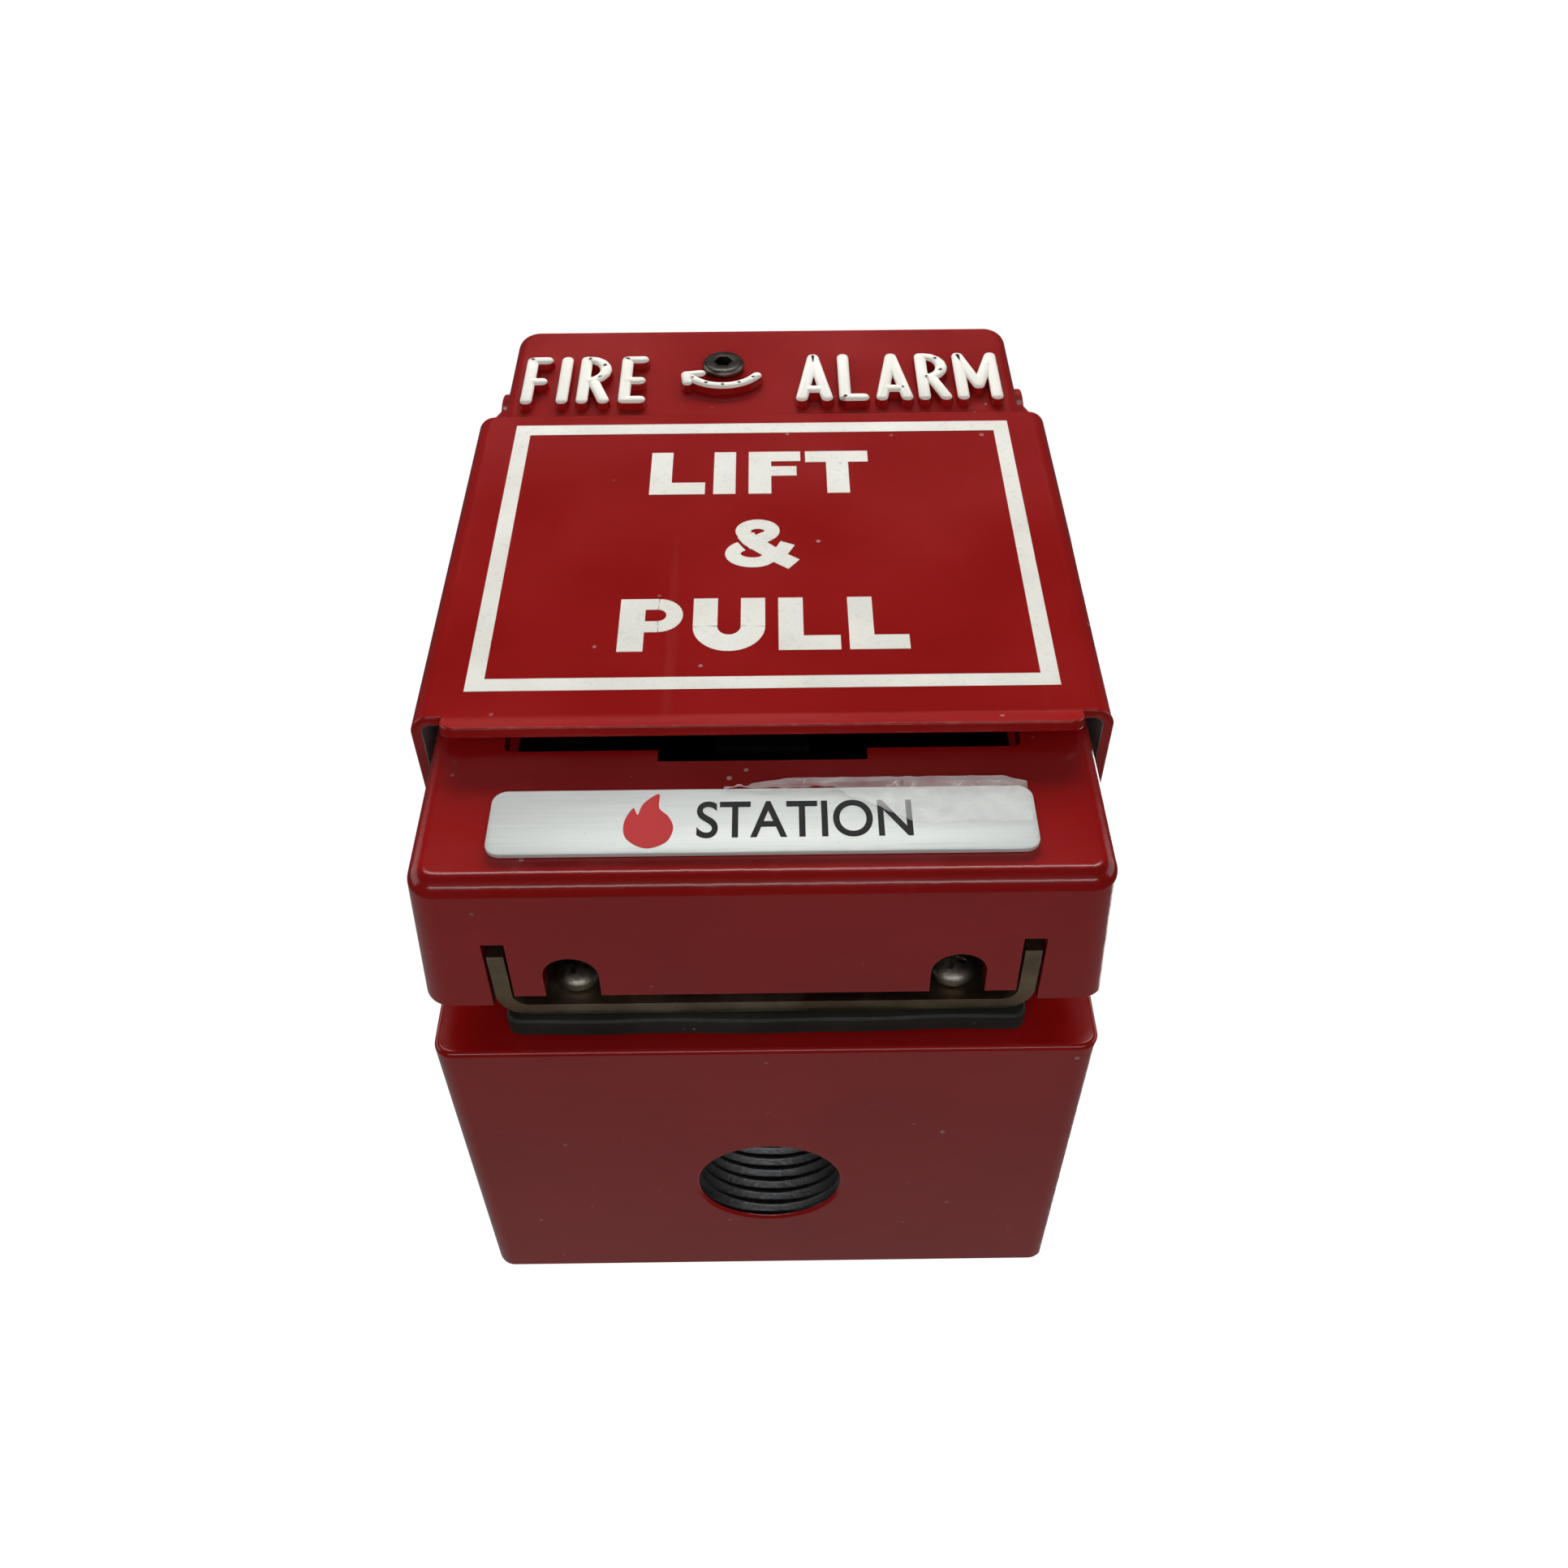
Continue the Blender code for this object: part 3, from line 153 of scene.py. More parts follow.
backdrop("wall", [(x, cad_high.y + WALL_GAP, z) for x, z in square], WHITE, see_through=True)
backdrop("floor", [(x, y, FLOOR_Z) for x, y in square], WHITE)

ROOM_DIM, ROOM_GREY = (0.050, 0.046, 0.046), (0.245, 0.25, 0.245)
world = bpy.data.worlds.new("room")
bpy.context.scene.world = world
world.use_nodes = True
room = world.node_tree
room.nodes.clear()
heading = put(room, "ShaderNodeSeparateXYZ", {0: put(room, "ShaderNodeTexCoord").outputs["Generated"]})
surround = mix(room, ramp(room, heading.outputs["Y"], 0.60, 0.70), ROOM_DIM, ROOM_GREY)
seen = mix(room, put(room, "ShaderNodeLightPath").outputs["Is Camera Ray"], surround, WHITE)
sky = put(room, "ShaderNodeBackground", {"Color": seen, "Strength": 1.0})
room.links.new(sky.outputs[0], put(room, "ShaderNodeOutputWorld").inputs["Surface"])


LIT_PLACE = spot(0.0, 0.03, 0.06)


def softbox(name, aside, above, width, height, level, mirrored=True, lighting=True):
    """A rectangular light one metre from the object. Level 1 lights a face square to it to its own colour."""
    light = bpy.data.lights.new(name, "AREA")
    light.shape = "RECTANGLE"
    light.size, light.size_y = width, height
    light.energy = pi * pi * level
    lamp = add(name, light)
    a, e = radians(aside), radians(above)
    lamp.location = LIT_PLACE + Vector((sin(a) * cos(e), -cos(a) * cos(e), sin(e)))
    lamp.rotation_euler = (LIT_PLACE - lamp.location).to_track_quat("-Z", "Y").to_euler()
    lamp.visible_glossy, lamp.visible_diffuse = mirrored, lighting


softbox("ceiling light", 0, 23, 1.0, 0.10, 0.32, lighting=False)
softbox("window light", 0, -59, 1.1, 0.10, 0.22)
softbox("soft light above", 0, 68, 0.9, 0.22, 2.05, mirrored=False)
softbox("soft light below", 0, -50, 1.0, 0.6, 0.26, mirrored=False)
softbox("soft light left", -75, 10, 0.6, 1.0, 0.22)
softbox("soft light right", 75, 10, 0.6, 1.0, 0.22)
softbox("light behind", 160, 30, 1.0, 0.8, 0.90)
bpy.context.scene.view_settings.view_transform = "Standard"


# The back box: a deep zinc casting, enamelled red, screwed to the wall through its rear wall. The conduit comes
# in through a half-inch tapped hub in its lower wall, whose threads are cut after painting and so are bare.
def group(name, inputs, outputs, build):
    """A shared effect. Inputs and outputs are (name, kind) or (name, kind, value)."""
    tree = bpy.data.node_groups.new(name, "ShaderNodeTree")
    for direction, sockets in (("INPUT", inputs), ("OUTPUT", outputs)):
        for entry in sockets:
            socket = tree.interface.new_socket(entry[0], in_out=direction, socket_type="NodeSocket" + entry[1])
            if len(entry) > 2:
                socket.default_value = entry[2]
    entry_node = tree.nodes.new("NodeGroupInput")
    exit_node = tree.nodes.new("NodeGroupOutput")
    for key, value in build(tree, entry_node.outputs).items():
        tree.links.new(value, exit_node.inputs[key])
    return tree


def use(tree, shared, **inputs):
    """Places a shared effect in a material, and gives what it puts out."""
    return put(tree, "ShaderNodeGroup", inputs, node_tree=shared).outputs[0]


def clouds(tree, place, scale, detail):
    """Soft noise over the piece, from 0 to 1."""
    return put(tree, "ShaderNodeTexNoise", {"Vector": place, "Scale": scale, "Detail": detail}).outputs["Fac"]


def build_mottle(tree, given):
    """Two tones in soft clouds."""
    return {"Shade": ramp(tree, clouds(tree, given["Place"], given["Scale"], 5.0), 0.35, 0.65)}


def build_specks(tree, given):
    """Dust: round specks in a share of the cells, gathered in patches."""
    cells = put(tree, "ShaderNodeTexVoronoi", {"Vector": given["Place"], "Scale": given["Scale"]})
    chance = put(tree, "ShaderNodeSeparateColor", {0: cells.outputs["Color"]}).outputs[0]
    chosen = combine(tree, "GREATER_THAN", chance, combine(tree, "SUBTRACT", 1.0, given["Share"]))
    speck = ramp(tree, cells.outputs["Distance"], 0.10, 0.20, low=1.0, high=0.0)
    gathered = ramp(tree, clouds(tree, given["Place"], 45.0, 2.0), 0.42, 0.60)
    return {"Mask": combine(tree, "MULTIPLY", combine(tree, "MULTIPLY", chosen, speck), gathered)}


def build_peel(tree, given):
    """The fine waves of a sprayed or cast surface."""
    return {"Height": clouds(tree, given["Place"], given["Scale"], 2.0)}


def build_wear(tree, given):
    """Rubbed edges: where the rounded normal leaves the flat one, broken up into patches."""
    rounded = put(tree, "ShaderNodeBevel", {"Radius": given["Reach"]}, samples=4)
    facing = put(tree, "ShaderNodeNewGeometry").outputs["Normal"]
    same = put(tree, "ShaderNodeVectorMath", {0: facing, 1: rounded.outputs[0]}, operation="DOT_PRODUCT")
    edge = ramp(tree, same.outputs["Value"], 0.985, 0.90)
    patchy = ramp(tree, clouds(tree, given["Place"], 420.0, 4.0), 0.50, 0.66)
    return {"Mask": combine(tree, "MULTIPLY", edge, patchy)}


def build_scratches(tree, given):
    """Hairlines: noise drawn out along one slanting direction and thinned."""
    placed = {"Vector": given["Place"], "Scale": (1.0, 1.0, 0.04), "Rotation": (0.3, 0.5, 0.2)}
    drawn = put(tree, "ShaderNodeMapping", placed).outputs[0]
    return {"Mask": ramp(tree, clouds(tree, drawn, given["Scale"], 3.0), 0.66, 0.72)}


PLACE = ("Place", "Vector")
MOTTLE = group("mottle", [PLACE, ("Scale", "Float", 60.0)], [("Shade", "Float")], build_mottle)
SPECKS = group(
    "dust specks", [PLACE, ("Scale", "Float", 500.0), ("Share", "Float", 0.05)], [("Mask", "Float")], build_specks
)
PEEL = group("orange peel", [PLACE, ("Scale", "Float", 600.0)], [("Height", "Float")], build_peel)
WEAR = group("edge wear", [PLACE, ("Reach", "Float", 0.0004)], [("Mask", "Float")], build_wear)
SCRATCHES = group("fine scratches", [PLACE, ("Scale", "Float", 300.0)], [("Mask", "Float")], build_scratches)


def finish(name, roughness, metallic=0.0):
    """A new material, its nodes, its shader and the place on the piece that its textures follow."""
    material = bpy.data.materials.new(name)
    material.use_nodes = True
    tree = material.node_tree
    shader = tree.nodes["Principled BSDF"]
    shader.inputs["Roughness"].default_value = roughness
    shader.inputs["Metallic"].default_value = metallic
    return material, tree, shader, put(tree, "ShaderNodeTexCoord").outputs["Object"]


def bump(tree, shader, height, strength, distance):
    raised = put(tree, "ShaderNodeBump", {"Height": height, "Strength": strength, "Distance": distance})
    tree.links.new(raised.outputs[0], shader.inputs["Normal"])


ENAMEL_DEEP, ENAMEL_BRIGHT = (0.250, 0.0044, 0.0040), (0.285, 0.0056, 0.0052)
RUBBED_RED, SCRATCHED_RED, PALE_DUST = (0.46, 0.085, 0.075), (0.50, 0.20, 0.18), (0.46, 0.40, 0.37)


def enamel(name, dusty=0.05, wear=0.5):
    """Glossy red stove enamel, with orange peel, dust, hairline scratches and thin edges."""
    material, tree, shader, place = finish(name, 0.16)
    shade = use(tree, MOTTLE, Place=place, Scale=55.0)
    color = mix(tree, shade, ENAMEL_DEEP, ENAMEL_BRIGHT)
    rubbed = use(tree, WEAR, Place=place, Reach=0.0004)
    color = mix(tree, combine(tree, "MULTIPLY", rubbed, wear), color, RUBBED_RED)
    scuffs = use(tree, SCRATCHES, Place=place, Scale=260.0)
    color = mix(tree, combine(tree, "MULTIPLY", scuffs, 0.015), color, SCRATCHED_RED)
    dust = use(tree, SPECKS, Place=place, Scale=520.0, Share=dusty)
    color = mix(tree, combine(tree, "MULTIPLY", dust, 0.55), color, PALE_DUST)
    tree.links.new(color, shader.inputs["Base Color"])
    rough = combine(tree, "MULTIPLY_ADD", shade, 0.05, 0.15)
    rough = combine(tree, "MULTIPLY_ADD", dust, 0.5, rough)
    tree.links.new(combine(tree, "MULTIPLY_ADD", scuffs, 0.04, rough), shader.inputs["Roughness"])
    peel = use(tree, PEEL, Place=place, Scale=420.0)
    bump(tree, shader, combine(tree, "ADD", peel, dust), 0.10, 0.0004)
    return material


def metal(name, low, high, roughness, grain=700.0, stains=60.0, relief=0.15, metallic=1.0):
    """Bare or plated metal: two tones in clouds, worn bright at its edges, with a grain in its gloss and relief."""
    material, tree, shader, place = finish(name, roughness, metallic)
    shade = use(tree, MOTTLE, Place=place, Scale=stains)
    fine = use(tree, PEEL, Place=place, Scale=grain)
    rubbed = use(tree, WEAR, Place=place, Reach=0.0003)
    color = mix(tree, shade, low, high)
    bright = tuple(min(1.0, 1.5 * value) for value in high)
    color = mix(tree, combine(tree, "MULTIPLY", rubbed, 0.6), color, bright)
    tree.links.new(color, shader.inputs["Base Color"])
    rough = combine(tree, "MULTIPLY_ADD", fine, 0.22, roughness - 0.10)
    tree.links.new(combine(tree, "MULTIPLY_ADD", shade, 0.08, rough), shader.inputs["Roughness"])
    bump(tree, shader, fine, relief, 0.0003)
    return material


def plastic(name, low, high, roughness, grain=900.0, dusty=0.04, relief=0.12):
    """Moulded plastic or rubber: nearly even in colour, finely grained, with a little dust."""
    material, tree, shader, place = finish(name, roughness)
    shade = use(tree, MOTTLE, Place=place, Scale=90.0)
    dust = use(tree, SPECKS, Place=place, Scale=700.0, Share=dusty)
    color = mix(tree, combine(tree, "MULTIPLY", dust, 0.5), mix(tree, shade, low, high), (0.30, 0.29, 0.27))
    tree.links.new(color, shader.inputs["Base Color"])
    fine = use(tree, PEEL, Place=place, Scale=grain)
    tree.links.new(combine(tree, "MULTIPLY_ADD", fine, 0.2, roughness - 0.10), shader.inputs["Roughness"])
    bump(tree, shader, fine, relief, 0.0003)
    return material


BOX_ENAMEL = enamel("box enamel", dusty=0.10, wear=0.25)
BARE_CASTING = metal("bare casting", (0.16, 0.165, 0.17), (0.30, 0.305, 0.31), 0.46, grain=1500.0, relief=0.3)


def solid(name, bm, *materials, sharp=32):
    """Makes a closed mesh into a piece of the scene, smooth but for its sharp edges."""
    bmesh.ops.recalc_face_normals(bm, faces=bm.faces)
    mesh = bpy.data.meshes.new(name)
    bm.to_mesh(mesh)
    bm.free()
    for material in materials:
        mesh.materials.append(material)
    mesh.shade_smooth()
    mesh.set_sharp_from_angle(angle=radians(sharp))
    return add(name, mesh)


def settle(piece, *tools):
    """Bakes a piece's modifiers into its mesh and removes the tools that they used."""
    bpy.context.view_layer.update()
    graph = bpy.context.evaluated_depsgraph_get()
    baked = bpy.data.meshes.new_from_object(piece.evaluated_get(graph), preserve_all_data_layers=True, depsgraph=graph)
    piece.modifiers.clear()
    piece.data = baked
    for tool in tools:
        bpy.data.objects.remove(tool, do_unlink=True)
    return piece


def carve(piece, tools, operation="DIFFERENCE"):
    """Cuts tools out of a piece, or joins them to it."""
    for tool in tools:
        change = piece.modifiers.new("carve", "BOOLEAN")
        change.operation, change.solver, change.object = operation, "EXACT", tool
    return settle(piece, *tools)


def soften(piece, edge, segments=2, sharp=32):
    """Rounds the sharp edges of a piece over by a small radius."""
    rounding = piece.modifiers.new("rounded edges", "BEVEL")
    rounding.width, rounding.segments = edge, segments
    rounding.limit_method, rounding.angle_limit = "ANGLE", radians(sharp)
    rounding.use_clamp_overlap = True
    settle(piece)
    piece.data.shade_smooth()
    piece.data.set_sharp_from_angle(angle=radians(50))
    even = piece.modifiers.new("even shading", "WEIGHTED_NORMAL")
    even.keep_sharp = True
    even.weight = 100
    return settle(piece)


def mount(piece, body, slot, *nodes):
    """Lets a piece ride on its body, in place of the frame's own nodes. Its slot is not used."""
    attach(piece, body)
    if nodes:
        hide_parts(*nodes)
    return piece


def rectangle(width, height, corner, steps=8, along=1):
    """Points of a rectangle with round corners, in (x, z), its straight sides in several lengths."""
    points = []
    for quarter, (sx, sz) in enumerate(((1, 1), (-1, 1), (-1, -1), (1, -1))):
        centre = Vector((sx * (width / 2 - corner), sz * (height / 2 - corner)))
        turn = [pi / 2 * (quarter + step / steps) for step in range(steps + 1)]
        points += [centre + corner * Vector((cos(a), sin(a))) for a in turn]
    spread = []
    for start, end in zip(points, points[1:] + points[:1]):
        count = along if (end - start).length > 3 * corner / steps else 1
        spread += [start.lerp(end, step / count) for step in range(count)]
    return spread


def loft(bm, rings, slots=None, close=True):
    """Joins rings of points into a skin. Slots give the material of each band."""
    rows = [[bm.verts.new(point) for point in ring] for ring in rings]
    for band, (near, far) in enumerate(zip(rows, rows[1:])):
        for i in range(len(near)):
            j = (i + 1) % len(near)
            face = bm.faces.new((near[i], near[j], far[j], far[i]))
            face.material_index = slots[band] if slots else 0
    if close:
        bm.faces.new(rows[0])
        bm.faces.new(rows[-1]).material_index = slots[-1] if slots else 0
    return rows


def turned(name, start, axis, profile, *materials, sides=48):
    """A turned piece from its (distance along the axis, radius)."""
    turn = Matrix.Translation(start) @ axis.to_track_quat("Z", "Y").to_matrix().to_4x4()
    bm = bmesh.new()
    angles = [2 * pi * i / sides for i in range(sides)]
    loft(bm, [[turn @ Vector((r * cos(a), r * sin(a), along)) for a in angles] for along, r in profile])
    return solid(name, bm, *materials)


def rod(length, radius):
    """The profile of a plain round bar or drill."""
    return [(0, radius), (length, radius)]


def bar(name, x, depth, height, *materials):
    """A block between its ranges in x, depth and height."""
    low, high = spot(x[0], depth[0], height[0]), spot(x[1], depth[1], height[1])
    bm = bmesh.new()
    size = Matrix.Diagonal((*(high - low), 1))
    bmesh.ops.create_cube(bm, size=1, matrix=Matrix.Translation((low + high) / 2) @ size)
    return solid(name, bm, *materials)


box_low, box_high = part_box("back_box")
BOX_CORNER, BOX_WALL, BOX_RIM = 0.0025, 0.0030, 0.0040
BOX_FRONT_EDGE, BOX_REAR_EDGE, BOX_INNER_CORNER = 0.0007, 0.0004, 0.0015
MOUTH_WIDTH, MOUTH_LOW, MOUTH_HIGH, MOUTH_CORNER = 0.0556, 0.0110, 0.1060, 0.0030
MOUTH_MIDDLE = cover_low.z + (MOUTH_LOW + MOUTH_HIGH) / 2
CONDUIT_BACK = 0.0240
HOLE_RADIUS, THREAD_ROOT, THREAD_PITCH = 0.0096, 0.0105, 0.001814
HUB_RADIUS, HUB_HEIGHT, HUB_CHAMFER, HUB_DRILLED, THREAD_ROOM = 0.0136, 0.0110, 0.0019, 0.0135, 0.0003
SCREW_X, SCREW_LOW, SCREW_HIGH, SCREW_HOLE = 0.0229, 0.0050, 0.1120, 0.0022
SCREW_PLACES = ((-SCREW_X, SCREW_LOW), (SCREW_X, SCREW_LOW), (-SCREW_X, SCREW_HIGH), (SCREW_X, SCREW_HIGH))
BOSS_RADIUS, BOSS_LENGTH = 0.0046, 0.0140
WALL_HOLE_X, WALL_HOLE_Z, WALL_HOLE_RADIUS = 0.0260, 0.0440, 0.0026
box_width, box_height = box_high.x - box_low.x, box_high.z - box_low.z


def box_ring(y, inset, corner):
    outline = rectangle(box_width - 2 * inset, box_height - 2 * inset, corner)
    return [Vector((x, y, z)) for x, z in outline]


def mouth_ring(y, along=1):
    outline = rectangle(MOUTH_WIDTH, MOUTH_HIGH - MOUTH_LOW, MOUTH_CORNER, along=along)
    return [Vector((x, y, z + MOUTH_MIDDLE)) for x, z in outline]


rings = []
quarter_turn = [pi / 2 * step / 4 for step in range(5)]
for y, way, edge, turn in (
    (box_high.y, -1, BOX_REAR_EDGE, quarter_turn[::-1]), (box_low.y, 1, BOX_FRONT_EDGE, quarter_turn)
):
    for a in turn:
        inset = edge * (1 - cos(a))
        rings.append(box_ring(y + way * edge * (1 - sin(a)), inset, BOX_CORNER - inset))
rings += [mouth_ring(box_low.y), mouth_ring(box_low.y + BOX_RIM)]
for y in (box_low.y + BOX_RIM, box_high.y - BOX_WALL):
    rings.append(box_ring(y, BOX_WALL, BOX_INNER_CORNER))
bm = bmesh.new()
loft(bm, rings)
back_box = solid("back_box_casting", bm, BOX_ENAMEL, BARE_CASTING)
hub_foot = Vector((0, box_high.y - CONDUIT_BACK, box_low.z + BOX_WALL / 2))
up, inward = Vector((0, 0, 1)), Vector((0, 1, 0))
bosses = [turned("hub", hub_foot, up, rod(HUB_HEIGHT, HUB_RADIUS))]
holes = []
for mark, (x, height) in enumerate(SCREW_PLACES):
    foot = Vector((x, box_low.y + BOX_RIM / 2, cover_low.z + height))
    bosses.append(turned(f"boss_{mark}", foot, inward, rod(BOSS_LENGTH, BOSS_RADIUS), sides=32))
    holes.append(turned(f"screw_hole_{mark}", foot - 0.004 * inward, inward, rod(0.020, SCREW_HOLE), sides=24))
    across, upright = (-1 if x < 0 else 1) * WALL_HOLE_X, (-1 if mark < 2 else 1) * WALL_HOLE_Z
    rear = Vector((across, box_high.y - 0.006, upright))
    holes.append(turned(f"wall_hole_{mark}", rear, inward, rod(0.009, WALL_HOLE_RADIUS), sides=32))
carve(back_box, bosses, "UNION")
mouth_of_hub = Vector((0, hub_foot.y, box_low.z))
tapped = THREAD_ROOT + THREAD_ROOM
drill = [(0, HOLE_RADIUS + HUB_CHAMFER), (0.0014, HOLE_RADIUS), (0.0016, tapped), (HUB_DRILLED, tapped)]
holes.append(turned("hub_drill", mouth_of_hub - 0.001 * up, up, drill, sides=96))
carve(back_box, holes)
soften(back_box, 0.00015)
mount(back_box, "root", "red_enamel", "back_box")

# The conduit threads: a tapped sleeve of bare metal, cut as a helix and a little scarred.
SLEEVE_GAP, SLEEVE_SHORT, SLEEVE_BACK, SCAR = 0.00065, 0.0009, 0.00025, 0.00005
sleeve_foot = mouth_of_hub + SLEEVE_GAP * up
sleeve_length = HUB_HEIGHT + BOX_WALL / 2 - SLEEVE_SHORT
sleeve_rows, sleeve_sides = 96, 96
bm = bmesh.new()
rows = []
for row in range(sleeve_rows + 1):
    along = sleeve_length * row / sleeve_rows
    ring = []
    for i in range(sleeve_sides):
        angle = 2 * pi * i / sleeve_sides
        phase = (along / THREAD_PITCH - i / sleeve_sides) % 1.0
        tooth = min(1.0, max(0.0, 0.5 + 1.25 * (0.5 - abs(2 * phase - 1.0))))
        scarred = SCAR * noise.noise(Vector((40 * cos(angle), 40 * sin(angle), 900 * along)))
        radius = THREAD_ROOT - (THREAD_ROOT - HOLE_RADIUS) * tooth + scarred
        ring.append(sleeve_foot + Vector((radius * cos(angle), radius * sin(angle), along)))
    rows.append(ring)
radius = THREAD_ROOT + SLEEVE_BACK
angles = [2 * pi * i / sleeve_sides for i in range(sleeve_sides)]
for along in (sleeve_length, 0.0):
    rows.append([sleeve_foot + Vector((radius * cos(a), radius * sin(a), along)) for a in angles])
rows.append(rows[0])
loft(bm, rows, close=False)
bmesh.ops.remove_doubles(bm, verts=bm.verts, dist=1e-7)
mount(solid("conduit_thread", bm, BARE_CASTING, sharp=60), "root", "zinc_steel")


# The gasket: a die-cut frame of black rubber between the chassis and the box, a little uneven at its edge.
RUBBER = plastic("black rubber", (0.008, 0.009, 0.008), (0.018, 0.020, 0.017), 0.62, dusty=0.25, relief=0.3)
gasket_low, gasket_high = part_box("box_gasket")
gasket_width, gasket_height = gasket_high.x - gasket_low.x, gasket_high.z - gasket_low.z
ROUNDED, SPREAD, RAGGED, GASKET_CORNER, GASKET_STEPS = 0.0003, 0.0010, 0.00028, 0.0015, 28
bm = bmesh.new()
rings = []
for y, inset in (
    (gasket_low.y, ROUNDED), (gasket_low.y + ROUNDED, 0.0), (gasket_high.y - ROUNDED, 0.0), (gasket_high.y, ROUNDED)
):
    ring = []
    width, height = gasket_width - 2 * inset, gasket_height + SPREAD - 2 * inset
    for x, z in rectangle(width, height, GASKET_CORNER, along=GASKET_STEPS):
        z -= SPREAD / 2
        push = RAGGED * noise.noise(Vector((x * 90, z * 90, y * 60)))
        away = Vector((x, 0, z)).normalized()
        ring.append(Vector((x, y, z)) + push * away)
    rings.append(ring)
rings += [mouth_ring(y, GASKET_STEPS) for y in (gasket_high.y, gasket_low.y)]
rings.append(rings[0])
loft(bm, rings, close=False)
bmesh.ops.remove_doubles(bm, verts=bm.verts, dist=1e-7)
mount(solid("gasket_frame", bm, RUBBER), "root", "black_rubber", "box_gasket")


# The chassis: one bent sheet of yellow-passivated zinc-plated steel. Its web lies on the gasket and its two long
# flanges stand forward inside the cover. The lock's catch is welded to it, and four pan-head screws hold it.
ZINC = metal("passivated zinc", (0.25, 0.19, 0.115), (0.46, 0.38, 0.26), 0.42, grain=1300.0, stains=140.0)
SCREW_ZINC = metal("screw zinc", (0.30, 0.27, 0.22), (0.50, 0.46, 0.40), 0.38, grain=1800.0, stains=260.0)
chassis_low, chassis_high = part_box("chassis")
SHEET, BEND, FLANGE_TOP, FLANGE_SIDE = 0.0020, 0.0040, 0.1000, 0.0222
half = chassis_high.x
web_front = chassis_high.y - SHEET


def refine(name, material, edge=0.00015):
    """Gives a node of the frame its finish, and rounds its edges in the picture."""
    node = bpy.data.objects[name]
    node.data.materials.clear()
    node.data.materials.append(material)
    joined = node.modifiers.new("joined", "WELD")
    joined.merge_threshold = 0.000004
    rounding = node.modifiers.new("rounded edges", "BEVEL")
    rounding.width, rounding.segments = edge, 1
    rounding.limit_method, rounding.angle_limit = "ANGLE", radians(40)
    rounding.use_clamp_overlap = True
    even = node.modifiers.new("even shading", "WEIGHTED_NORMAL")
    even.keep_sharp = True
    return node


def bent(centre, radius, start, end, steps=10):
    """Points round a bend of the sheet, between two angles in degrees."""
    turn = [radians(start + (end - start) * step / steps) for step in range(steps + 1)]
    return [centre + radius * Vector((cos(a), sin(a))) for a in turn]


def strip(name, outline, low, high, material):
    """A bent strip: its outline in (x, y), run up from one height to another."""
    bm = bmesh.new()
    loft(bm, [[Vector((x, y, z)) for x, y in outline] for z in (low, high)])
    return solid(name, bm, material)


corner = Vector((half - BEND, chassis_high.y - BEND))
right = [Vector((half, chassis_low.y))] + bent(corner, BEND, 0, 90)
right_inner = bent(corner, BEND - SHEET, 90, 0) + [Vector((half - SHEET, chassis_low.y))]
outline = right + [Vector((-p.x, p.y)) for p in right[::-1]]
outline += [Vector((-p.x, p.y)) for p in right_inner[::-1]] + right_inner
channel = strip("chassis_channel", outline, chassis_low.z, chassis_high.z, ZINC)
SWITCH_HIGH, WIRES_HIGH, WIRES_LOW, EARTH_X, EARTH_HIGH = 0.0225, 0.0740, 0.0480, 0.0224, 0.0620
BLOCK_MIDDLE, BLOCK_FIX_X = 0.0860, 0.0197
HINGE_DEPTH, HINGE_HIGH, HINGE_HOLE, SMALL_HOLE, SWITCH_HOLE = 0.0155, 0.0048, 0.0019, 0.0017, 0.0062
cuts = [bar("ends", (-half - 0.001, half + 0.001), (0.0, FLANGE_SIDE), (FLANGE_TOP, 0.125))]
cuts.append(bar("wires", (-0.0150, 0.0150), (0.0210, 0.0260), (WIRES_LOW, WIRES_HIGH)))
drills = [(x, height, SCREW_HOLE) for x, height in SCREW_PLACES]
drills += [(0.0, SWITCH_HIGH, SWITCH_HOLE), (EARTH_X, EARTH_HIGH, SMALL_HOLE)]
drills += [(side * BLOCK_FIX_X, BLOCK_MIDDLE, SMALL_HOLE) for side in (-1, 1)]
for mark, (x, height, radius) in enumerate(drills):
    cuts.append(turned(f"drill_{mark}", spot(x, 0.0200, height), inward, rod(0.007, radius)))
sideways = Vector((1, 0, 0))
for mark, side in enumerate((-1, 1)):
    start = spot(side * (half - 0.001) - 0.004, HINGE_DEPTH, HINGE_HIGH)
    cuts.append(turned(f"hinge_drill_{mark}", start, sideways, rod(0.008, HINGE_HOLE)))
soften(carve(channel, cuts), 0.00025, segments=3)
mount(channel, "root", "zinc_steel", "chassis")


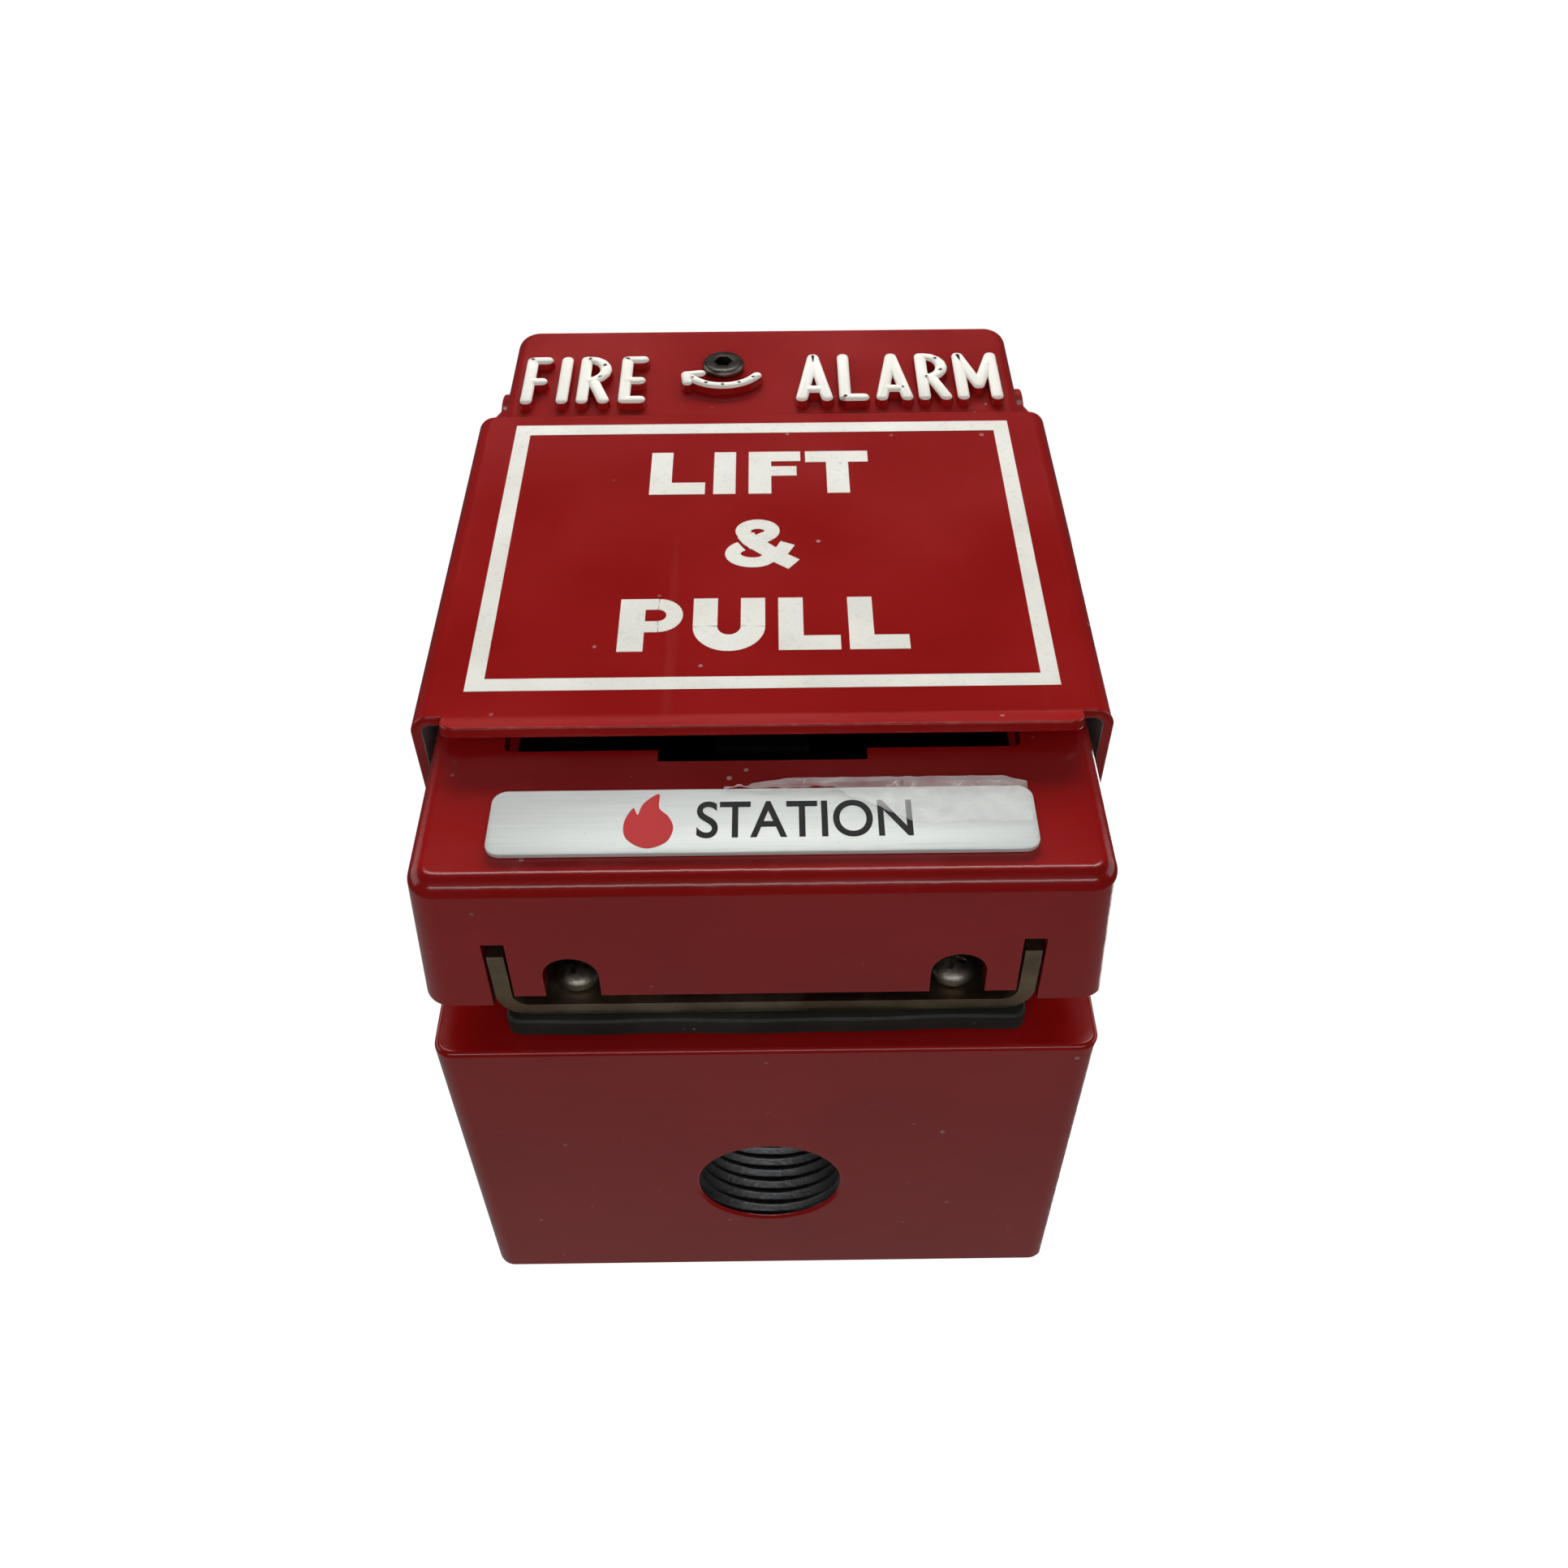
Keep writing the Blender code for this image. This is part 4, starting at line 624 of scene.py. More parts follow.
def cross_screw(name, x, height, seat, shank, head, crown, length, material):
    """A pan-head screw with a cross recess, its head domed and its shank threaded in rings."""
    rim = 0.25 * crown
    dome = [(-crown + (crown - rim) * (1 - cos(a)), head * sin(a)) for a in (0.10, 0.35, 0.62, 0.90, 1.20, 1.45)]
    profile = [(-crown, head * 0.05)] + dome + [(-rim, head), (-0.05 * crown, head), (0.0, head * 0.95), (0.0, shank)]
    turns = ceil(length / 0.0008)
    for turn in range(turns):
        along = length * (turn + 0.5) / turns
        profile += [(along - 0.0003, shank), (along, shank * 0.84), (along + 0.0003, shank)]
    screw = turned(name, spot(x, seat, height), inward, profile, material)
    tools = []
    reach, wing = head * 0.55, head * 0.11
    for mark, tilt in enumerate((20, 110)):
        blade = bar(f"{name}_blade_{mark}", (-reach, reach), (0.0, 1.2 * crown), (-wing, wing))
        centre = spot(0.0, 0.6 * crown, 0.0)
        place = Matrix.Translation(spot(x, seat - 0.95 * crown, height)) @ Matrix.Rotation(radians(tilt), 4, "Y")
        blade.data.transform(place @ Matrix.Translation(-centre))
        tools.append(blade)
    return soften(carve(screw, tools), 0.00012, segments=2)


SHANK_RADIUS, HEAD_CROWN, HEAD_GAP = 0.0019, 0.0022, 0.0003
for mark in range(1, 5):
    node = f"chassis_screw_{mark}"
    low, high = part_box(node)
    x, height, seat = (low.x + high.x) / 2, (low.z + high.z) / 2 - cover_low.z, web_front - HEAD_GAP - cover_low.y
    head, length = (high.x - low.x) / 2, high.y - web_front
    screw = cross_screw(
        f"pan_screw_{mark}", x, height, seat, SHANK_RADIUS, head, HEAD_CROWN, length, SCREW_ZINC
    )
    mount(screw, "root", "zinc_steel", node)
for node in ("hinge_pin_left", "hinge_pin_right", "lock_catch"):
    refine(node, ZINC)


# The switch, behind the web on its own bushing and nut, with soldered leads that come out through the window to
# the four-pole wiring block. The green screw beside it earths the box.
PHENOLIC = plastic("black phenolic", (0.012, 0.012, 0.012), (0.022, 0.021, 0.020), 0.38, grain=1500.0)
BRASS = metal("brass", (0.46, 0.29, 0.09), (0.66, 0.46, 0.18), 0.36, grain=1600.0, stains=200.0)
GREEN = metal("green dyed steel", (0.015, 0.12, 0.04), (0.04, 0.26, 0.09), 0.38, stains=200.0, metallic=0.6)
RED_WIRE = plastic("red wire", (0.36, 0.012, 0.010), (0.44, 0.018, 0.015), 0.40)
BLACK_WIRE = plastic("black wire", (0.012, 0.012, 0.012), (0.02, 0.02, 0.02), 0.40)
refine("switch_body", PHENOLIC, 0.0004)
refine("terminal_block", PHENOLIC, 0.0003)
for node in ("switch_bushing", "switch_nut", "switch_toggle", "block_screw_1", "block_screw_2"):
    refine(node, SCREW_ZINC, 0.0001)
for node in ("switch_terminal_1", "switch_terminal_2", *(f"terminal_screw_{pole}" for pole in range(1, 5))):
    refine(node, BRASS, 0.0001)
refine("earth_screw", GREEN, 0.0001)
refine("switch_lead_1", RED_WIRE, 0.00005)
refine("switch_lead_2", BLACK_WIRE, 0.00005)


# The front cover: a thin-walled zinc casting with drafted sides and a soft front edge, enamelled outside and bare
# inside. Its window shows the pull handle. It swings down on two stub pins and a socket screw locks it at the top.
CAST_GREY = metal("bare zinc casting", (0.20, 0.20, 0.205), (0.34, 0.34, 0.345), 0.55, grain=1200.0, relief=0.35)
COVER_RED = enamel("cover enamel", dusty=0.05, wear=0.35)
COVER_WALL, COVER_CORNER, COVER_FILLET, SIDE_DRAFT, END_DRAFT = 0.0026, 0.0035, 0.0022, 0.062, 0.030
COVER_INNER_EDGE, COVER_REAR_EDGE, LEAST_CORNER = 0.0010, 0.0003, 0.0012
COVER_DEPTH = cover_high.y - cover_low.y
COVER_HEIGHT = cover_high.z - cover_low.z
COVER_WIDTH = cover_high.x - cover_low.x


def cover_ring(depth, inset):
    """An outline of the cover at a depth, following the draft of its sides."""
    to_rear = COVER_DEPTH - depth
    width = COVER_WIDTH - 2 * (SIDE_DRAFT * to_rear + inset)
    height = COVER_HEIGHT - 2 * (END_DRAFT * to_rear + inset)
    middle = cover_low.z + COVER_HEIGHT / 2
    corner = max(COVER_CORNER - inset, LEAST_CORNER)
    return [Vector((x, cover_low.y + depth, middle + z)) for x, z in rectangle(width, height, corner, steps=12)]


fillet = [pi / 2 * step / 12 for step in range(13)]
outside = [cover_ring(COVER_FILLET * (1 - sin(a)), COVER_FILLET * (1 - cos(a))) for a in reversed(fillet)]
outside += [cover_ring(COVER_DEPTH - COVER_REAR_EDGE, 0.0), cover_ring(COVER_DEPTH, COVER_REAR_EDGE)]
inside = [cover_ring(COVER_DEPTH, COVER_WALL), cover_ring(COVER_WALL + COVER_INNER_EDGE, COVER_WALL)]
inside.append(cover_ring(COVER_WALL, COVER_WALL + COVER_INNER_EDGE))
bm = bmesh.new()
loft(bm, outside + inside, slots=[0] * len(outside) + [1] * len(inside))
front_cover = solid("front_cover_casting", bm, COVER_RED, CAST_GREY)

WINDOW_X, WINDOW_LOW, WINDOW_HIGH, WINDOW_CORNER = 0.0310, 0.0214, 0.0760, 0.0010
NOTCH_X, NOTCH_LOW = 0.0125, 0.0195
LOCK_X, LOCK_HIGH, LOCK_SHANK, LOCK_HOLE = -0.0061, 0.1068, 0.0024, 0.0027
DOOR_PIN_DEPTH, DOOR_PIN_HIGH, DOOR_PIN_RADIUS = 0.0135, 0.1105, 0.0018
DOOR_PIN_HOLE = DOOR_PIN_RADIUS + 0.0003
HANDLE_DEPTH, HANDLE_HIGH, HANDLE_PIN_HOLE = 0.0060, 0.0145, 0.0018
HINGE_LUG, PIN_BOSS, KNUCKLE, KNUCKLE_X, KNUCKLE_WIDTH = 0.0033, 0.0040, 0.0030, 0.0060, 0.0038
SCREW_NOTCH, NOTCH_DEPTH, SLOT_DEPTH, SLOT_GAP = 0.0033, 0.0163, 0.0103, 0.0004
LOWER_WALL, PAST_REAR = (-0.001, 0.0034), COVER_DEPTH + 0.001


def stub(side, length, radius):
    """The profile of a round stub that runs outwards, to the left or to the right."""
    return [(0, radius), (length, radius)] if side > 0 else [(-length, radius), (0, radius)]


lugs = []
for mark, side in enumerate((-1, 1)):
    foot = spot(side * (half + 0.0004), HINGE_DEPTH, HINGE_HIGH)
    lugs.append(turned(f"hinge_lug_{mark}", foot, sideways, stub(side, 0.0060, HINGE_LUG)))
    foot = spot(side * 0.0350, DOOR_PIN_DEPTH, DOOR_PIN_HIGH)
    lugs.append(turned(f"pin_boss_{mark}", foot, sideways, stub(side, 0.0040, PIN_BOSS)))
    x = sorted((side * KNUCKLE_X, side * (KNUCKLE_X + KNUCKLE_WIDTH)))
    lugs.append(bar(f"handle_lug_{mark}", x, (0.0013, HANDLE_DEPTH), (HANDLE_HIGH - KNUCKLE, HANDLE_HIGH + KNUCKLE)))
    foot = spot(x[0], HANDLE_DEPTH, HANDLE_HIGH)
    lugs.append(turned(f"handle_knuckle_{mark}", foot, sideways, rod(KNUCKLE_WIDTH, KNUCKLE)))
carve(front_cover, lugs, "UNION")
opening = [(p.x, p.y) for p in rectangle(2 * WINDOW_X, WINDOW_HIGH - WINDOW_LOW, WINDOW_CORNER)]
recess_x = half - SHEET - SLOT_GAP
cuts = [
    strip("window", opening, -0.005, 0.005, None),
    bar("notch", (-NOTCH_X, NOTCH_X), (-0.001, 0.006), (NOTCH_LOW, WINDOW_LOW + 0.001)),
    turned("lock_hole", spot(LOCK_X, -0.002, LOCK_HIGH), inward, rod(0.008, LOCK_HOLE)),
    bar("web_recess", (-recess_x, recess_x), (COVER_DEPTH - SHEET, PAST_REAR), LOWER_WALL),
]
stand_up = Matrix.Translation(spot(0.0, 0.0, (WINDOW_LOW + WINDOW_HIGH) / 2)) @ Matrix.Rotation(radians(90), 4, "X")
cuts[0].data.transform(stand_up)
for mark, side in enumerate((-1, 1)):
    x = sorted((side * recess_x, side * (half + 0.0003)))
    cuts.append(bar(f"flange_slot_{mark}", x, (SLOT_DEPTH, PAST_REAR), LOWER_WALL))
    x = side * SCREW_X
    cuts.append(bar(f"screw_notch_{mark}", (x - SCREW_NOTCH, x + SCREW_NOTCH), (NOTCH_DEPTH, PAST_REAR), LOWER_WALL))
    arch = [(height, SCREW_NOTCH) for height in LOWER_WALL]
    cuts.append(turned(f"screw_arch_{mark}", spot(x, NOTCH_DEPTH, 0.0), up, arch))
    start = spot(side * 0.0360 - 0.006, DOOR_PIN_DEPTH, DOOR_PIN_HIGH)
    cuts.append(turned(f"door_pin_drill_{mark}", start, sideways, rod(0.012, DOOR_PIN_HOLE)))
    start = spot(side * (half + 0.0015) - 0.0018, HINGE_DEPTH, HINGE_HIGH)
    cuts.append(turned(f"hinge_drill_{mark}", start, sideways, rod(0.0036, HINGE_HOLE)))
start = spot(-0.0105, HANDLE_DEPTH, HANDLE_HIGH)
cuts.append(turned("handle_drill", start, sideways, rod(0.021, HANDLE_PIN_HOLE), sides=24))
soften(carve(front_cover, cuts), 0.0003, segments=3)
mount(front_cover, "cover", "red_enamel", "front_cover")
for node in ("door_pin_left", "door_pin_right", "handle_pin"):
    refine(node, SCREW_ZINC, 0.0001)


# The raised lettering, cast with the cover, its tops rolled with white paint: FIRE ALARM across the top, with a
# curved arrow under the lock that shows which way it turns.
OFF_WHITE = plastic("white paint", (0.76, 0.74, 0.66), (0.84, 0.82, 0.75), 0.45, grain=1200.0, dusty=0.06)
RIDGE = ((-0.10, 1.12), (0.55, 1.00), (0.98, 0.92), (1.16, 0.82), (1.27, 0.62), (1.32, 0.30))


def ridge(bm, start, end, levels=RIDGE, steps=8):
    """A rounded cast stroke between two points in millimetres, its levels as (height, half width).

    Each is a hair higher or lower than those it crosses, so that no two tops lie in one plane.
    """
    lift = 0.004 * (len(bm.faces) // 3 % 5)
    start, end = Vector(start), Vector(end)
    run = (end - start).normalized() if (end - start).length > 1e-6 else Vector((1, 0))
    heading = pi / 2 + run.to_2d().angle_signed(Vector((1, 0)))
    rings = []
    for raised, half_width in levels:
        ring = []
        for centre, turn in ((start, heading), (end, heading + pi)):
            for step in range(steps + 1):
                a = turn + pi * step / steps
                point = centre + half_width * Vector((cos(a), sin(a)))
                ring.append(spot(point.x / 1000, -(raised + lift) / 1000, point.y / 1000))
        rings.append(ring)
    loft(bm, rings, slots=[0, 0, 1, 1, 1, 1])


def arc_path(centre, radius_x, radius_y, start, end, steps=8):
    """Points along an arc of an ellipse, between two angles in degrees."""
    turn = [radians(start + (end - start) * step / steps) for step in range(steps + 1)]
    return [(centre[0] + radius_x * cos(a), centre[1] + radius_y * sin(a)) for a in turn]


LOW, WAIST, HIGH = 96.5, 101.9, 108.1
bowl = arc_path((0, (WAIST + HIGH) / 2), 3.1, 3.1, 90, -90)
r_shape = [[(0, LOW), (0, HIGH)], [(0, HIGH), (0.5, HIGH)] + [(0.5 + x * 0.87, y) for x, y in bowl] + [(0, WAIST)]]
r_shape.append([(1.4, WAIST), (3.3, LOW)])
a_shape = [[(0, LOW), (1.95, HIGH), (3.9, LOW)], [(0.7, 98.9), (3.2, 98.9)]]
letters = {
    "F": (-36.4, [[(0, LOW), (0, HIGH), (2.3, HIGH)], [(0, WAIST), (1.9, WAIST)]]),
    "I": (-30.9, [[(0, LOW), (0, HIGH)]]),
    "R": (-27.8, r_shape),
    "E": (-21.3, [[(2.4, LOW), (0, LOW), (0, HIGH), (2.4, HIGH)], [(0, WAIST), (2.2, WAIST)]]),
    "A": (6.2, a_shape),
    "L": (12.9, [[(0, HIGH), (0, LOW), (2.8, LOW)]]),
    "A2": (18.6, a_shape),
    "R2": (25.2, r_shape),
    "M": (31.2, [[(0, LOW), (0, HIGH), (2.6, 99.6), (5.2, HIGH), (5.2, LOW)]]),
}
bm = bmesh.new()
for across, strokes in letters.values():
    for path in strokes:
        points = [(across + x, y) for x, y in path]
        for start, end in zip(points, points[1:]):
            ridge(bm, start, end)
mount(solid("raised_letters", bm, COVER_RED, OFF_WHITE, sharp=45), "cover", "red_enamel")
bm = bmesh.new()
lock_middle = (1000 * LOCK_X, 1000 * LOCK_HIGH - 0.2)
path = arc_path(lock_middle, 6.4, 6.4, 214, 326, 14)
ARROW = [(raised, 0.86 * half_width) for raised, half_width in RIDGE]
for start, end in zip(path, path[1:]):
    ridge(bm, start, end, ARROW)
tip = Vector(path[0]) + Vector((-0.5, 0.5))
for barb in (tip + Vector((0.25, -2.3)), tip + Vector((2.3, 0.35))):
    ridge(bm, tip, barb, ARROW)
mount(solid("raised_arrow", bm, COVER_RED, OFF_WHITE, sharp=45), "cover", "red_enamel")


# The nameplate: thin brushed aluminium with round corners, glued on and printed. A clear protective film is still
# on its right half, lifting and wrinkled along its edge.
PLATE, tree, shader, place = finish("brushed aluminium", 0.42, 0.55)
drawn = put(tree, "ShaderNodeMapping", {"Vector": place, "Scale": (0.03, 1.0, 1.0)}).outputs[0]
brushing = clouds(tree, drawn, 2600.0, 3.0)
tone = mix(tree, brushing, (0.62, 0.66, 0.63), (0.80, 0.83, 0.80))
dust = use(tree, SPECKS, Place=place, Scale=700.0, Share=0.06)
tree.links.new(mix(tree, combine(tree, "MULTIPLY", dust, 0.5), tone, (0.20, 0.19, 0.18)), shader.inputs["Base Color"])
tree.links.new(combine(tree, "MULTIPLY_ADD", brushing, 0.16, 0.36), shader.inputs["Roughness"])
bump(tree, shader, brushing, 0.10, 0.0002)
PLATE_CORNER, PLATE_EDGE, PLATE_BREAK = 0.0018, 0.00012, 0.00004
plate_low, plate_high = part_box("nameplate")
bm = bmesh.new()
rings = []
for y, inset in (
    (plate_high.y, 0.0), (plate_low.y + PLATE_EDGE, 0.0), (plate_low.y + PLATE_BREAK, PLATE_BREAK),
    (plate_low.y, PLATE_EDGE),
):
    width, height = plate_high.x - plate_low.x - 2 * inset, plate_high.z - plate_low.z - 2 * inset
    middle = (plate_high.z + plate_low.z) / 2
    rings.append([Vector((x, y, middle + z)) for x, z in rectangle(width, height, PLATE_CORNER - inset)])
loft(bm, rings)
mount(solid("nameplate_sheet", bm, PLATE), "cover", "brushed_aluminium", "nameplate")

BLACK_INK = plastic("black ink", (0.006, 0.006, 0.006), (0.010, 0.010, 0.010), 0.60, dusty=0.02)
RED_INK = plastic("red ink", (0.42, 0.012, 0.014), (0.50, 0.016, 0.018), 0.42)
INK = 0.00004


def words(name, text, size, x, height, face, bold, narrow, material):
    """Printed words, as a thin film of ink on a face."""
    script = bpy.data.curves.new(name, "FONT")
    script.body, script.size, script.offset, script.extrude = text, size, bold, INK / 2
    script.align_x, script.align_y = "LEFT", "BOTTOM_BASELINE"
    shape = add(f"{name}_text", script)
    bpy.context.view_layer.update()
    mesh = bpy.data.meshes.new_from_object(shape.evaluated_get(bpy.context.evaluated_depsgraph_get()))
    bpy.data.objects.remove(shape, do_unlink=True)
    stand = Matrix.Translation((x, face, cover_low.z + height)) @ Matrix.Rotation(radians(90), 4, "X")
    mesh.transform(stand @ Matrix.Diagonal((narrow, 1.0, 1.0, 1.0)))
    mesh.materials.clear()
    mesh.materials.append(material)
    mesh.name = name
    return add(name, mesh)


mount(
    words("nameplate_words", "STATION", 0.0078, -0.0077, 0.0069, plate_low.y, 0.00008, 0.77, BLACK_INK),
    "cover", "brushed_aluminium",
)


def prism(bm, outline, face, thick=INK):
    """A thin closed shape of ink, its outline in millimetres, standing on a face at a depth."""
    loft(bm, [[spot(x / 1000, face - rise, y / 1000) for x, y in outline] for rise in (0.0, thick)])


def ribbon(bm, path, width, face, thick=INK):
    """A stroke of ink along a path in millimetres, as wide as given."""
    points = [Vector(point) for point in path]
    left, right = [], []
    for i, point in enumerate(points):
        before, after = points[max(i - 1, 0)], points[min(i + 1, len(points) - 1)]
        normal = Vector((-(after - before).y, (after - before).x)).normalized()
        left.append(point + normal * width / 2)
        right.append(point - normal * width / 2)
    rows = [[left[i], right[i], right[i], left[i]] for i in range(len(points))]
    rises = (0.0, 0.0, thick, thick)
    loft(bm, [[spot(p.x / 1000, face - rise, p.y / 1000) for p, rise in zip(row, rises)] for row in rows])


# The flame is drawn as a smooth closed curve through a few points.
bm = bmesh.new()
flame = [(-13.2, 5.9), (-11.2, 6.6), (-10.5, 8.4), (-11.0, 10.0), (-12.0, 11.2), (-12.1, 13.1), (-13.6, 11.8),
         (-14.1, 10.3), (-14.6, 11.2), (-15.4, 9.3), (-15.1, 7.2)]
smooth = []
for i in range(len(flame)):
    a, b, c, d = (Vector(flame[(i + k) % len(flame)]) for k in (-1, 0, 1, 2))
    for step in range(5):
        t = step / 5
        smooth.append(0.5 * (2 * b + (c - a) * t + (2 * a - 5 * b + 4 * c - d) * t**2 + (3 * b - a - 3 * c + d) * t**3))
middle = Vector((-12.9, 9.5))
prism(bm, [middle + 1.15 * (point - middle) for point in smooth], plate_low.y - cover_low.y, 0.00003)
mount(solid("nameplate_flame", bm, RED_INK), "cover", "brushed_aluminium")

FILM, tree, shader, place = finish("clear film", 0.12)
shader.inputs["Base Color"].default_value = (0.90, 0.90, 0.88, 1.0)
wrinkles = clouds(tree, place, 380.0, 3.0)
tree.links.new(combine(tree, "MULTIPLY_ADD", wrinkles, 0.24, 0.04), shader.inputs["Alpha"])
bump(tree, shader, wrinkles, 0.45, 0.0006)


def rise_between(x, start, length):
    """Climbs from 0 to 1 over a length in millimetres."""
    return min(1.0, max(0.0, (x - start) / length))


# The film in millimetres: its left end, length and clearance, and how far it steps, waves and curls.
FILM_LEFT, FILM_LENGTH, FILM_CLEAR, FILM_STEP, FILM_WAVE, FILM_CURL = -4.5, 35.2, 0.22, 0.22, 0.16, 0.30
PLATE_TOP = 14.6
bm = bmesh.new()
columns, lines = 90, 10
grid = []
for i in range(columns + 1):
    x = FILM_LEFT + FILM_LENGTH * i / columns
    low = 14.2 - 5.5 * rise_between(x, 8.0, 9.0) + 0.55 * noise.noise(Vector((x * 0.55, 3.1, 0.0)))
    high = 14.5 + 1.1 * rise_between(x, -2.0, 5.0) * min(1.0, max(0.0, (31.0 - x) / 3.0))
    column = []
    for j in range(lines + 1):
        y = low + (max(high, low + 0.2) - low) * j / lines
        wave = FILM_WAVE * noise.noise(Vector((x * 0.8, y * 0.9, 1.0))) + (FILM_STEP if y > PLATE_TOP else 0.0)
        curl = FILM_CURL * (1 - j / lines) ** 3 * (0.5 + noise.noise(Vector((x * 0.9, 9.0, 0.0))))
        depth = plate_low.y - cover_low.y - (FILM_CLEAR + wave + curl) / 1000
        column.append(bm.verts.new(spot(x / 1000, depth, y / 1000)))
    grid.append(column)
for near, far in zip(grid, grid[1:]):
    for j in range(lines):
        bm.faces.new((near[j], far[j], far[j + 1], near[j + 1]))
film = solid("nameplate_film", bm, FILM)
thick = film.modifiers.new("thickness", "SOLIDIFY")
thick.thickness = 0.00005
mount(film, "cover", "brushed_aluminium")


# The lift-up door: 1.4 mm steel sheet, folded back along both sides into flanges whose ears turn on the cover's
# pins, and flared at its lower edge into a lip for the fingers. It is enamelled outside and primed grey inside.
DOOR_RED = enamel("door enamel", dusty=0.05, wear=0.9)
PRIMER = plastic("grey primer", (0.20, 0.195, 0.19), (0.30, 0.29, 0.28), 0.5, dusty=0.1)
door_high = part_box("lift_door")[1]
DOOR_SHEET, DOOR_BOTTOM, DOOR_TOP, DOOR_BEND, FLANGE_REAR = 0.0014, 0.0254, 0.0908, 0.0020, 0.0190
LIP_X, LIP_DROP, LIP_FLARE, LIP_CORNER = 0.038775, 0.0034, 0.0014, 0.0022
EAR_RADIUS, EAR_START, EAR_STEPS, BEND_STEPS, FLANGE_CUT = 0.0060, 205, 24, 10, 0.002
FACE_DEPTH = -0.0012
half_door = door_high.x - DOOR_SHEET / 2
flat = half_door - DOOR_BEND
bm = bmesh.new()


def vert(x, depth, height):
    return bm.verts.new(spot(x, depth, height))


tops = {side: vert(side * flat, FACE_DEPTH, DOOR_TOP) for side in (-1, 1)}
lows = {side: vert(side * flat, FACE_DEPTH, DOOR_BOTTOM) for side in (-1, 1)}
roots = {side: vert(side * LIP_X, FACE_DEPTH, DOOR_BOTTOM) for side in (-1, 1)}
bm.faces.new((tops[-1], tops[1], lows[1], roots[1], roots[-1], lows[-1]))
lip = [roots[1]]
for side, start in ((1, 0), (-1, 90)):
    centre = (side * (LIP_X - LIP_CORNER), DOOR_BOTTOM - LIP_DROP + LIP_CORNER)
    for step in range(BEND_STEPS + 1):
        a = radians(-start - 90 * step / BEND_STEPS)
        x, height = centre[0] + LIP_CORNER * cos(a), centre[1] + LIP_CORNER * sin(a)
        lip.append(vert(x, FACE_DEPTH - LIP_FLARE * (DOOR_BOTTOM - height) / LIP_DROP, height))
bm.faces.new(lip + [roots[-1]])
for side in (-1, 1):
    column = [(tops[side], lows[side])]
    for step in range(1, BEND_STEPS + 1):
        a = radians(-90 + 90 * step / BEND_STEPS)
        x, depth = flat + DOOR_BEND * cos(a), FACE_DEPTH + DOOR_BEND + DOOR_BEND * sin(a)
        column.append((vert(side * x, depth, DOOR_TOP), vert(side * x, depth, DOOR_BOTTOM)))
    for (top_a, low_a), (top_b, low_b) in zip(column, column[1:]):
        bm.faces.new((top_a, top_b, low_b, low_a))
    ear = arc_path((DOOR_PIN_DEPTH, DOOR_PIN_HIGH), EAR_RADIUS, EAR_RADIUS, EAR_START, 0, EAR_STEPS)
    rear = [(FLANGE_REAR, DOOR_TOP), (FLANGE_REAR, DOOR_BOTTOM + FLANGE_CUT), (FLANGE_REAR - FLANGE_CUT, DOOR_BOTTOM)]
    outline = [vert(side * half_door, depth, height) for depth, height in ear + rear]
    bm.faces.new([column[-1][0], *outline, column[-1][1]])
door = solid("door_sheet", bm, DOOR_RED, PRIMER)
thick = door.modifiers.new("sheet thickness", "SOLIDIFY")
thick.thickness, thick.offset, thick.use_even_offset = DOOR_SHEET, 0.0, True
settle(door)
cuts = []
for mark, side in enumerate((-1, 1)):
    start = spot(side * half_door - 0.002, DOOR_PIN_DEPTH, DOOR_PIN_HIGH)
    cuts.append(turned(f"ear_drill_{mark}", start, sideways, rod(0.004, DOOR_PIN_HOLE)))
soften(carve(door, cuts), 0.00028, segments=3)
for face in door.data.polygons:
    inside_x = abs(face.center.x) < half_door - DOOR_SHEET * 0.4
    inside_y = face.center.y > cover_low.y + FACE_DEPTH + DOOR_SHEET * 0.4
    toward = face.normal.y > 0.5 or face.normal.x * (1 if face.center.x > 0 else -1) < -0.5
    face.material_index = int(inside_x and inside_y and toward)
mount(door, "door", "red_enamel", "lift_door")


# The door's printing: LIFT & PULL in heavy letters inside a broad white frame, screened on the enamel.
DOOR_FACE = FACE_DEPTH - DOOR_SHEET / 2
PRINT = plastic("white screen print", (0.74, 0.73, 0.66), (0.83, 0.82, 0.75), 0.30, grain=1500.0, dusty=0.10)
bm = bmesh.new()


def blocks(*ranges):
    """Rectangles of ink: (left, right, bottom, top) in millimetres."""
    for left, right, bottom, top in ranges:
        prism(bm, [(left, bottom), (right, bottom), (right, top), (left, top)], DOOR_FACE)


FRAME_LEFT, FRAME_RIGHT, FRAME_LOW, FRAME_HIGH = -36.65, 36.75, 32.2, 85.7
blocks((FRAME_LEFT, FRAME_RIGHT, FRAME_HIGH, 88.2), (FRAME_LEFT, FRAME_RIGHT, 30.0, FRAME_LOW))
blocks((FRAME_LEFT, -34.4, FRAME_LOW, FRAME_HIGH), (34.5, FRAME_RIGHT, FRAME_LOW, FRAME_HIGH))
BASE, CAP = 70.4, 80.7
blocks((-16.0, -12.9, BASE, CAP), (-12.9, -8.1, BASE, BASE + 2.8), (-6.9, -3.75, BASE, CAP))
blocks((-1.9, 1.35, BASE, CAP), (1.35, 5.6, CAP - 2.4, CAP), (1.35, 5.0, 74.7, 77.0))
blocks((6.3, 15.4, CAP - 2.7, CAP), (9.3, 12.5, BASE, CAP - 2.7))
BASE, CAP = 37.0, 47.3
blocks((-18.4, -15.1, BASE, CAP), (-15.1, -13.4, CAP - 2.15, CAP), (-15.1, -13.4, 40.7, 42.85))
ribbon(bm, arc_path((-13.4, 44.0), 2.1, 2.2, 90, -90, 16), 2.15, DOOR_FACE)
